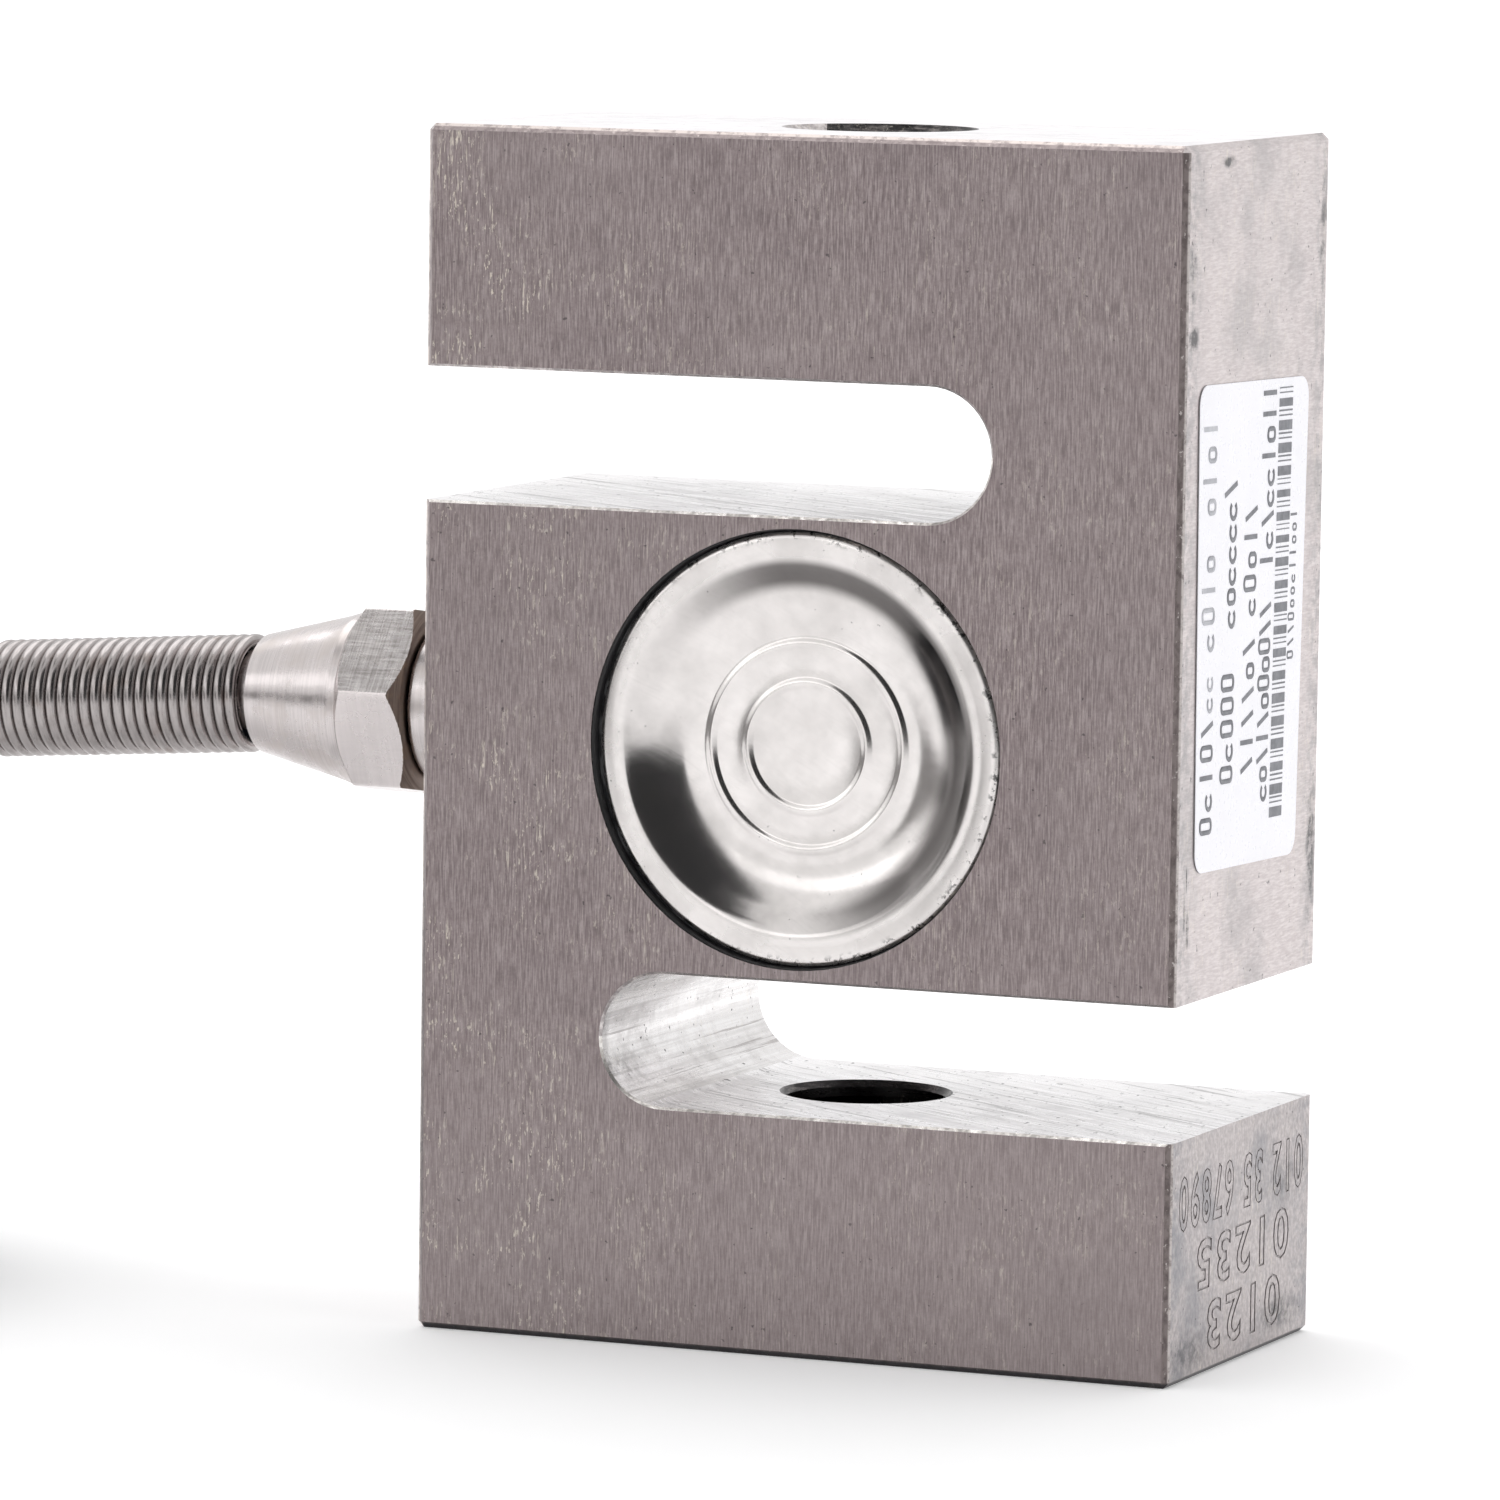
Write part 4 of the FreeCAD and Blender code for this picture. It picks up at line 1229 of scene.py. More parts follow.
# ---------------- spring element
@dataclass
class SpringElement:
    """The S shaped steel block, with engraved figures, threads and a finish for each kind of surface.

    A row of figures is (text, start, end, middle, size): its ends across the side, the height of its middle,
    and its letter height.  Slot roof is how far a slot's far face is from the block's nearer end.
    """

    width: float = WIDTH
    depth: float = DEPTH
    height: float = HEIGHT
    arm: float = 15.2
    slot_roof: float = 23.7
    thread_root: float = 6.0
    thread_pitch: float = 1.75
    thread_top: Point = (62.0, 75.5)
    ridge_steps: int = 144
    ridge_sides: int = 4
    mouth_depth: float = 1.3
    # Painted light: a hole's mouth is paler where x is below this.
    mouth_light: float = -4.8
    broken_edge: float = 0.39
    burr: float = 0.16
    engraving_depth: float = 0.07
    engraving_reach: float = 11.6
    groove: float = 0.036
    letter_space: float = 1.25
    letter_steps: int = 3
    rows: tuple[tuple[str, float, float, float, float], ...] = (
        ("012 35 67890", 11.1, -11.0, 11.2, 3.3),
        ("01235", 8.6, -7.6, 7.0, 3.0),
        ("0123", 7.2, -5.6, 2.95, 3.0),
    )
    flush: float = 0.02
    merge: float = 2e-7
    flat_degrees: float = 0.2
    sharp_degrees: float = 28.0
    finishes: tuple[Finish, ...] = (
        Finish.FACE, Finish.SIDE, Finish.SIDE_LOW, Finish.TOP, Finish.SLOT, Finish.SLOT_END, Finish.EDGE,
        Finish.EDGE_LIGHT, Finish.BURR, Finish.BURR_SOFT, Finish.BORE, Finish.CUT, Finish.THREAD)

    def lettering(self, offset: float, depth: float) -> Mesh:
        """Rows of plain figures on the lower arm's side, upside down as stamped.

        Args:
            offset: How far the strokes' outlines are moved outwards, for a letter height of 1.
            depth: How far they reach into the steel, in mm.

        Returns:
            The figures as solid blocks.
        """
        work = bmesh.new()
        for text, start, end, middle, size in self.rows:
            letters = bpy.data.curves.new("figures", "FONT")
            letters.body = text
            letters.extrude = 0.5
            letters.offset = offset
            letters.resolution_u = self.letter_steps
            letters.space_character = self.letter_space
            host = hung("figures", letters)
            graph = bpy.context.evaluated_depsgraph_get()
            flat = bpy.data.meshes.new_from_object(host.evaluated_get(graph))
            bpy.data.objects.remove(host)
            spots = [vertex.co for vertex in flat.vertices]
            low = [min(spot[axis] for spot in spots) + offset for axis in (0, 1)]
            high = [max(spot[axis] for spot in spots) - offset for axis in (0, 1)]
            surface = self.width / 2
            for vertex in flat.vertices:
                along = (vertex.co.x - low[0]) / (high[0] - low[0])
                up = (vertex.co.y - low[1]) / (high[1] - low[1]) - 0.5
                out = 3.0 * depth if vertex.co.z > 0 else -depth
                vertex.co = Vector((surface + out, start + (end - start) * along, middle - up * size)) * MM
            work.from_mesh(flat)
            bpy.data.meshes.remove(flat)
        bmesh.ops.remove_doubles(work, verts=work.verts, dist=1e-8)
        bmesh.ops.recalc_face_normals(work, faces=work.faces)
        return mesh_of(work, "figure_blocks")

    def figures(self) -> Mesh:
        """Make the cutter that engraves the outlines of the figures' strokes.

        Returns:
            The cutter.
        """
        grooves = hung("figure_grooves", self.lettering(self.groove, self.engraving_depth))
        self.cut(grooves, self.lettering(0.0, self.engraving_depth * 1.3))
        mesh = grooves.data
        bpy.data.objects.remove(grooves)
        return mesh

    def thread_relief(self, low: float, high: float) -> Mesh:
        """Cutter that opens a load hole to the root of its thread.

        Args:
            low: Where it starts, in mm above the base.
            high: Where it ends.

        Returns:
            The cutter.
        """
        spindle = Spindle((0, 0, 0), (0, 0, 1), (1, 0, 0), (0, 1, 0))
        root = self.thread_root
        return turned("thread_relief", spindle, [(low, 0), (low, root), (high, root), (high, 0)], 72)

    def cut(self, piece: Piece, cutter: Mesh) -> None:
        """Take a cutter's shape out of the block and keep the result.

        Args:
            piece: The block.
            cutter: What is cut away.
        """
        tool = hung("cutter", cutter)
        action = piece.modifiers.new("cut", "BOOLEAN")
        action.operation = "DIFFERENCE"
        action.solver = "EXACT"
        action.object = tool
        graph = bpy.context.evaluated_depsgraph_get()
        result = bpy.data.meshes.new_from_object(piece.evaluated_get(graph))
        piece.modifiers.remove(action)
        piece.data = result
        bpy.data.objects.remove(tool)

    def in_slot(self, up: float, slack: float = 0.0) -> bool:
        """Whether a height lies in a slot.

        Args:
            up: The height above the base, in mm.
            slack: How far past the slot's roof still counts, in mm.

        Returns:
            True in a slot.
        """
        from_end = min(up, self.height - up)
        return self.arm - 0.1 < from_end < self.slot_roof + slack

    def is_rim(self, edge: bmesh.types.BMEdge) -> bool:
        """Whether an edge runs round a slot in the front or rear face.

        Args:
            edge: The edge.

        Returns:
            True for a slot's rim.
        """
        if len(edge.link_faces) != 2:
            return False
        spans = sorted(abs(face.normal.y) for face in edge.link_faces)
        middle = (edge.verts[0].co + edge.verts[1].co) / 2 / MM
        square = spans[0] < 0.05 and spans[1] > 0.95
        return square and self.in_slot(middle.z, 0.1) and abs(middle.x) < self.width / 2 - 0.3

    def outer_finish(self, spot: Vector, normal: Vector, inset: Vector) -> Optional[Finish]:
        """Choose the finish of a face that is flush with the block's outside, or engraved in it.

        Args:
            spot: The face's middle, in mm.
            normal: The way that it faces.
            inset: How far its middle lies inside the block's outside along X, Y and Z, in mm.

        Returns:
            Its finish, or None for any other face.
        """
        # Front and back faces take the darker painted-shade steel, top and bottom the near-white
        # painted-light steel.
        if abs(normal.y) > 0.9 and inset.y < self.flush:
            return Finish.FACE
        if abs(normal.x) > 0.9 and inset.x < self.flush:
            return Finish.SIDE_LOW if spot.x > 0 and spot.z < self.arm else Finish.SIDE
        if abs(normal.z) > 0.9 and inset.z < self.flush:
            return Finish.TOP
        on_figures = spot.x > 0 and abs(spot.y) < self.engraving_reach and spot.z < self.arm - 1
        # Engraved faces take the darker painted-shade finish.
        if on_figures and inset.x < self.engraving_depth + self.flush:
            return Finish.CUT
        return None

    def finish_of(self, face: bmesh.types.BMFace) -> Finish:
        """Choose the finish of one face.

        Args:
            face: The face.

        Returns:
            Its finish.
        """
        spot = face.calc_center_median() / MM
        normal = face.normal
        ends = Vector((self.width / 2, self.depth / 2, self.height / 2))
        inset = ends - Vector((abs(spot.x), abs(spot.y), abs(spot.z - self.height / 2)))
        outer = self.outer_finish(spot, normal, inset)
        if outer:
            return outer
        in_hole = math.hypot(spot.x, spot.y) < self.thread_root + 0.5 and inset.z < self.arm + 0.1
        if in_hole and abs(normal.z) < 0.97:
            mouth = inset.z < self.mouth_depth and abs(normal.z) > 0.2
            # Painted light: a hole's mouth is paler on its cable side; the rest of the hole is near black.
            return Finish.BURR_SOFT if mouth and spot.x < self.mouth_light else Finish.THREAD
        if 0.5 < abs(normal.y) < 0.9 and inset.x > 0.3 and inset.z > 0.5:
            # Upward-facing rim bevels take the bright burr as painted light, downward-facing ones the darker
            # copy as painted shade.
            return Finish.BURR if normal.z > 0 else Finish.BURR_SOFT
        if sum(1 for depth in inset if depth < self.broken_edge) >= 2:
            at_top = spot.z > self.height - 0.5
            if at_top and abs(normal.x) > 0.5:
                return Finish.SIDE
            # Top and cable-side chamfers take the lighter painted-light copy.
            return Finish.EDGE_LIGHT if at_top or spot.x < 0.5 - ends.x else Finish.EDGE
        if self.in_slot(spot.z):
            return Finish.SLOT if abs(normal.z) > 0.97 else Finish.SLOT_END
        # Painted shade: the other inner faces take the near-black finish.
        return Finish.BORE

    def blank(self) -> Mesh:
        """Copy the CAD block and bevel its slots' rims for the burrs.

        Returns:
            The block's mesh.
        """
        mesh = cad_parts["spring_element"].data.copy()
        mesh.name = "machined_block"
        mesh.materials.clear()
        for stored in [layer for layer in mesh.attributes if layer.name == "custom_normal"]:
            mesh.attributes.remove(stored)
        flat = math.radians(self.flat_degrees)
        with reworked(mesh) as work:
            bmesh.ops.remove_doubles(work, verts=work.verts, dist=self.merge)
            bmesh.ops.dissolve_limit(work, angle_limit=flat, verts=work.verts, edges=work.edges)
            rims = [edge for edge in work.edges if self.is_rim(edge)]
            bmesh.ops.bevel(work, geom=rims, offset=self.burr * MM, segments=1, affect="EDGES",
                            clamp_overlap=True)
        return mesh

    def build(self) -> Piece:
        """Build and dress the block.

        Returns:
            The block.
        """
        piece = piece_from(self.blank(), "machined_block", ["spring_element"])
        low, high = self.thread_top
        self.cut(piece, self.thread_relief(low, high))
        self.cut(piece, self.thread_relief(self.height - high, self.height - low))
        self.cut(piece, self.figures())
        mesh = piece.data
        for finish in self.finishes:
            mesh.materials.append(finish.material())
        with reworked(mesh) as work:
            bmesh.ops.remove_doubles(work, verts=work.verts, dist=self.merge)
            bmesh.ops.triangulate(work, faces=[face for face in work.faces if len(face.verts) > 4])
            for face in work.faces:
                finish = self.finish_of(face)
                face.material_index = self.finishes.index(finish)
                face.smooth = finish in (Finish.SLOT, Finish.SLOT_END, Finish.BORE, Finish.THREAD)
        mesh.set_sharp_from_angle(angle=math.radians(self.sharp_degrees))
        return piece

    def threads(self, coils: GrowthTree) -> list[Piece]:
        """Wind the ridges of the two load threads.

        Args:
            coils: The tree that winds them.

        Returns:
            The two thread pieces.
        """
        made = []
        low, high = self.thread_top
        turns = (high - low - self.thread_pitch) / self.thread_pitch
        for name, start in (("upper_thread_ridge", low), ("lower_thread_ridge", self.height - high)):
            mesh = coils.grow(name, {
                "Turns": turns, "Radius": self.thread_root * MM, "Pitch": self.thread_pitch * MM,
                "Wire Radius": self.thread_pitch / 2 * MM, "Steps": self.ridge_steps,
                "Sides": self.ridge_sides, "Material": Finish.THREAD.material()})
            mesh.transform(Matrix.Translation(Vector((0, 0, start + self.thread_pitch / 2)) * MM))
            settle(mesh, 30.0)
            made.append(piece_from(mesh, name))
        return made


# ---------------- seal cups and sealant
@dataclass
class SealCup:
    """Drawn sheet cup: rolled lip, sloping wall, flat floor with two plain ring beads, and a skirt.

    Depths are from the block's face, and radii from the cup's axis.  Lip is (depth, radius, ease) twice on
    its crest, and underside (depth, radius) at three places.  Snug is how far the lip rises and moves out at
    the snug angle, and how far it moves all round.  Ripple is how far it strays in depth and in radius.
    """

    side: str
    spindle: Spindle
    sheet: float = 0.5
    outer: float = 13.45
    floor_depth: float = 2.15
    floor_start: float = 1.5
    floor_end: float = 7.6
    bead_height: float = 0.13
    bead_width: float = 0.85
    bead_fullness: float = 0.8
    beads: Point = (4.0, 6.45)
    flat: float = 7.0
    bowl: float = 6.0
    bowl_steps: int = 14
    wall_tilt: float = 33.0
    lip_depth: float = 0.36
    lip_ease: float = 0.5
    lip: tuple[Triple, Triple] = ((0.34, 12.4, 0.3), (0.42, 13.16, 0.25))
    lip_drop: float = 0.72
    skirt_depth: float = 3.6
    skirt_start: float = 1.3
    underside: tuple[Point, Point, Point] = ((0.9, 12.6), (0.9, 11.9), (1.75, 10.5))
    snug: Triple = (0.3, 0.34, -0.12)
    snug_angle: float = 8.0
    ripple: Point = (0.05, 0.03)
    ripple_start: float = 10.5
    rim_start: float = 12.3
    steps: int = 176

    def profile(self) -> list[Point]:
        """Draw the cup's closed section, from the middle of its floor outwards and back underneath.

        Returns:
            The section.
        """
        top: list[Point] = [(self.floor_depth, 0.0), (self.floor_depth, self.floor_start)]
        half = self.bead_width / 2
        for radius in self.beads:
            for share in (-1.0, -0.8, -0.55, -0.25, 0.0, 0.25, 0.55, 0.8, 1.0):
                lift = self.bead_height * (0.5 + 0.5 * math.cos(math.pi * share)) ** self.bead_fullness
                top.append((self.floor_depth - lift, radius + share * half))
        wall = math.radians(self.wall_tilt)
        for step in range(self.bowl_steps + 1):
            tilt = wall * step / self.bowl_steps
            rise = self.bowl * (1 - math.cos(tilt))
            top.append((self.floor_depth - rise, self.flat + self.bowl * math.sin(tilt)))
        depth, radius = top[-1]
        run = (depth - self.lip_depth) / math.tan(wall)
        top += eased([
            (depth - 0.1 * math.tan(wall), radius + 0.1, 0.0), (self.lip_depth, radius + run, self.lip_ease),
            *self.lip, (self.lip_drop, self.outer, 0.12), (self.skirt_depth, self.outer, 0.0)])
        inner = self.outer - self.sheet
        under = self.floor_depth + self.sheet
        inside = [(self.skirt_depth, inner), (self.skirt_start, inner), *self.underside,
                  (under, self.floor_end), (under, 0.0)]
        return top + inside

    def wander(self, along: float, radius: float, angle: float) -> Point:
        """Bend the lip a little, as drawn sheet does.

        Args:
            along: Depth in the pocket.
            radius: Distance from the axis.
            angle: Angle about the axis.

        Returns:
            The bent place.
        """
        spot = Vector((math.cos(angle) * 1.6, math.sin(angle) * 1.6, radius * 0.15))
        share = min(max((radius - self.ripple_start) / 2.0, 0.0), 1.0)
        rim = min(max((radius - self.rim_start) / (self.outer - self.rim_start), 0.0), 1.0)
        if along >= self.skirt_start:
            rim = 0.0
        near = (0.5 + 0.5 * math.cos(angle - math.radians(self.snug_angle))) ** 0.6
        rise, out, all_round = self.snug
        deep, wide = self.ripple
        return (along - rim * near * rise + deep * share * noise.noise(spot),
                radius + rim * (near * out + all_round) + wide * share * noise.noise(spot * 2.1))

    def build(self) -> Piece:
        """Build and dress the cup.

        Returns:
            The cup.
        """
        mesh = turned(self.side + "_cup_sheet", self.spindle, self.profile(), self.steps, self.wander)
        mesh.materials.append(Finish.SHEET.material())
        return piece_from(mesh, self.side + "_cup_sheet", [self.side + "_seal_cup"])


@dataclass
class SealantRing:
    """Black sealant, run up the pocket's wall and smeared unevenly on the cup's lip.

    Crest is (depth, distance from the pocket's wall) along its open side, and smear and foot are (depth,
    radius) where it lies on the cup.  Thin is how much lower its edge lies at the snug angle.
    """

    side: str
    spindle: Spindle
    pocket: float = 13.74
    crest: tuple[Point, Point, Point] = ((0.08, 0.0), (0.14, 0.06), (0.5, 0.12))
    smear: tuple[Point, Point, Point] = ((0.7, 13.52), (0.68, 13.36), (0.74, 13.24))
    foot: tuple[Point, Point] = ((1.5, 13.3), (3.4, 13.46))
    thin: float = 0.35
    snug_angle: float = 8.0
    steps: int = 240

    def ragged(self, along: float, radius: float, angle: float) -> Point:
        """Move the sealant's two free edges at random.

        Args:
            along: Depth in the pocket.
            radius: Distance from the axis.
            angle: Angle about the axis.

        Returns:
            The moved place.
        """
        spot = Vector((math.cos(angle) * 9.0, math.sin(angle) * 9.0, 0.0))
        rough = noise.fractal(spot, 0.9, 2.1, 4)
        broad = noise.noise(spot * 0.17)
        near = 0.5 + 0.5 * math.cos(angle - math.radians(self.snug_angle))
        if along < 0.3:
            return along + 0.05 + 0.07 * rough + 0.04 * broad + self.thin * near, radius
        if radius < 13.4 and along < 1.0:
            shift = max(0.2 * rough + 0.14 * broad, -0.05) * (1.0 - near)
            return along - shift * 0.7, radius - shift
        return along, radius

    def build(self) -> Piece:
        """Build and dress the ring.

        Returns:
            The ring.
        """
        crest = [(depth, self.pocket - inwards) for depth, inwards in self.crest]
        profile = [*crest, *self.smear, *self.foot, (self.foot[-1][0], self.pocket)]
        mesh = turned(self.side + "_sealant", self.spindle, profile, self.steps, self.ragged)
        mesh.materials.append(Finish.SEALANT.material())
        return piece_from(mesh, self.side + "_sealant", [self.side + "_sealant_ring"])


# ---------------- gland
@dataclass
class CapNut:
    """Hexagon nut with chamfered corners that runs through a turned band and a cone to the spring's seat.

    Places along it are from the block's cable face.  The chamfers at its ends are drawn in rows.
    """

    start: float = 4.75
    hex_end: float = 9.45
    band_end: float = 10.1
    band_radius: Point = (5.6, 5.58)
    cone_radius: Point = (5.3, 3.87)
    cone_end: float = 16.8
    spigot_radius: float = 2.9
    spigot_end: float = 17.8
    cable_bore: float = 2.75
    thread_bore: float = 4.3
    thread_end: float = 11.8
    flats: float = 11.5
    turn: float = 9.0
    chamfer: float = 0.7
    corner_radius: float = 6.58
    corner_run: float = 1.6
    steps: int = 432
    rows: int = 14
    sharp_degrees: float = 18.0

    def hexagon(self, along: float, radius: float, angle: float) -> Point:
        """Flatten the turned blank to six sides where it is the hexagon.

        Args:
            along: Distance from the cable face.
            radius: Radius of the turned blank.
            angle: Angle about the axis.

        Returns:
            The place on the hexagon.
        """
        if radius < 5.0 or not self.start - 0.01 < along < self.hex_end + 0.3:
            return along, radius
        from_flat = (math.degrees(angle) - self.turn) % 60.0 - 30.0
        flat = self.flats / 2 / math.cos(math.radians(from_flat))
        return along, min(radius, flat, self.corner_radius)

    def build(self) -> Piece:
        """Build and dress the nut.

        Returns:
            The nut.
        """
        mesh = turned("cap_nut", GLAND_AXIS, self.profile(), self.steps, self.hexagon)
        finishes = (Finish.NICKEL, Finish.CHAMFER, Finish.FLAT, Finish.HATCH_REFLECTION)
        for finish in finishes:
            mesh.materials.append(finish.material())
        for face in mesh.polygons:
            face.material_index = finishes.index(self.finish_of(face))
        mesh.set_sharp_from_angle(angle=math.radians(self.sharp_degrees))
        return piece_from(mesh, "cap_nut", ["gland_cap_nut"])

    def profile(self) -> list[Point]:
        """Draw the blank's closed section: hexagon, band, cone, spigot and bores.

        Returns:
            The section.
        """
        corner = self.flats / 2 / math.cos(math.pi / 6)
        edge = self.flats / 2 - 0.05
        band_start, band_stop = self.band_radius
        cone_start, cone_stop = self.cone_radius
        profile = [(self.start, self.thread_bore), (self.start, edge - 0.2), (self.start + 0.04, edge)]
        slope = [(self.chamfer * step / self.rows, edge + (corner - edge) * step / self.rows)
                 for step in range(1, self.rows + 1)]
        profile += [(self.start + along, radius) for along, radius in slope]
        profile += [(self.start + self.corner_run, corner), (self.hex_end - self.corner_run, corner)]
        profile += [(self.hex_end - along, radius) for along, radius in reversed(slope)]
        profile.append((self.hex_end, edge))
        profile += eased([
            (self.hex_end + 0.02, edge - 0.02, 0.0), (self.hex_end + 0.12, band_start, 0.05),
            (self.band_end, band_stop, 0.12), (self.band_end + 0.9, cone_start, 0.5),
            (self.cone_end, cone_stop, 0.1), (self.cone_end, self.spigot_radius, 0.0)])
        return profile + [
            (self.spigot_end, self.spigot_radius), (self.spigot_end, self.cable_bore),
            (self.thread_end, self.cable_bore), (self.thread_end, self.thread_bore)]

    def finish_of(self, face: bpy.types.MeshPolygon) -> Finish:
        """Choose the finish of one face.

        Args:
            face: The face.

        Returns:
            Its finish.
        """
        away = CABLE_SIDE - face.center.x / MM
        if away < self.start + self.chamfer and face.normal.x > 0.12:
            return Finish.CHAMFER
        if away < self.hex_end and abs(face.normal.x) < 0.02:
            # Upward-facing flats take the painted-reflection hatch.
            return Finish.HATCH_REFLECTION if face.normal.z > 0.5 else Finish.FLAT
        return Finish.NICKEL


@dataclass
class GlandCollar:
    """Turned collar and shank of the gland, with eased rims; places along it are from the cable face."""

    shank_end: float = -8.6
    shank_radius: float = 3.95
    collar: Point = (0.6, 4.65)
    collar_radius: float = 5.1
    thread_radius: float = 4.25
    thread_end: float = 9.55
    mouth_radius: float = 3.6
    mouth_depth: float = 2.0
    bore: float = 2.75
    steps: int = 120

    def build(self) -> Piece:
        """Build and dress the collar.

        Returns:
            The collar.
        """
        start, end = self.collar
        profile = eased([
            (self.shank_end, self.bore, 0.0), (self.shank_end, self.shank_radius, 0.2),
            (start, self.shank_radius, 0.0), (start, self.collar_radius, 0.25),
            (end, self.collar_radius, 0.35), (end, self.thread_radius, 0.0),
            (self.thread_end, self.thread_radius, 0.2),
            (self.thread_end, self.mouth_radius, 0.0), (self.thread_end - self.mouth_depth, self.bore, 0.0)])
        mesh = turned("gland_collar", GLAND_AXIS, profile, self.steps)
        mesh.materials.append(Finish.NICKEL.material())
        return piece_from(mesh, "gland_collar", ["gland_body"])


@dataclass
class StrainReliefSpring:
    """Close-wound coil on the nut's spigot, drooping with the cable."""

    wire: float = 0.8
    diameter: float = 7.7
    pitch: float = 0.81
    turns: int = 23
    droop: float = 4.0
    start: float = 17.12
    turn_steps: int = 64
    wire_sides: int = 20

    def build(self, coils: GrowthTree) -> Piece:
        """Wind and dress the spring.

        Args:
            coils: The tree that winds it.

        Returns:
            The spring.
        """
        mesh = coils.grow("relief_spring", {
            "Turns": float(self.turns), "Radius": (self.diameter - self.wire) / 2 * MM,
            "Pitch": self.pitch * MM, "Wire Radius": self.wire / 2 * MM,
            "Steps": self.turn_steps, "Sides": self.wire_sides,
            "Material": Finish.WIRE.material()})
        lay = Matrix(((0, 0, -1, 0), (1, 0, 0, 0), (0, -1, 0, 0), (0, 0, 0, 1)))
        seat = Matrix.Translation(Vector((CABLE_SIDE - self.start, 0, GLAND_HEIGHT)) * MM)
        ahead = Matrix.Translation(Vector((0, 0, self.wire / 2)) * MM)
        mesh.transform(seat @ Matrix.Rotation(math.radians(-self.droop), 4, "Y") @ lay @ ahead)
        settle(mesh, 50.0)
        return piece_from(mesh, "relief_spring", ["strain_relief_spring"])


# ---------------- label
@dataclass(frozen=True)
class PrintedRow:
    """One printed row that runs up the label, measured in mm from the label's left and bottom edges.

    Across is the row's middle and tall its height.  It runs from start to end, with marks a pitch apart,
    picked by the seed.  Bars is the least and the most width of a bar, for a row of plain bars.
    """

    name: str
    across: float
    tall: float
    start: float
    end: float
    pitch: float
    seed: int
    ink: Finish = Finish.INK
    bars: Point = (0.0, 0.0)


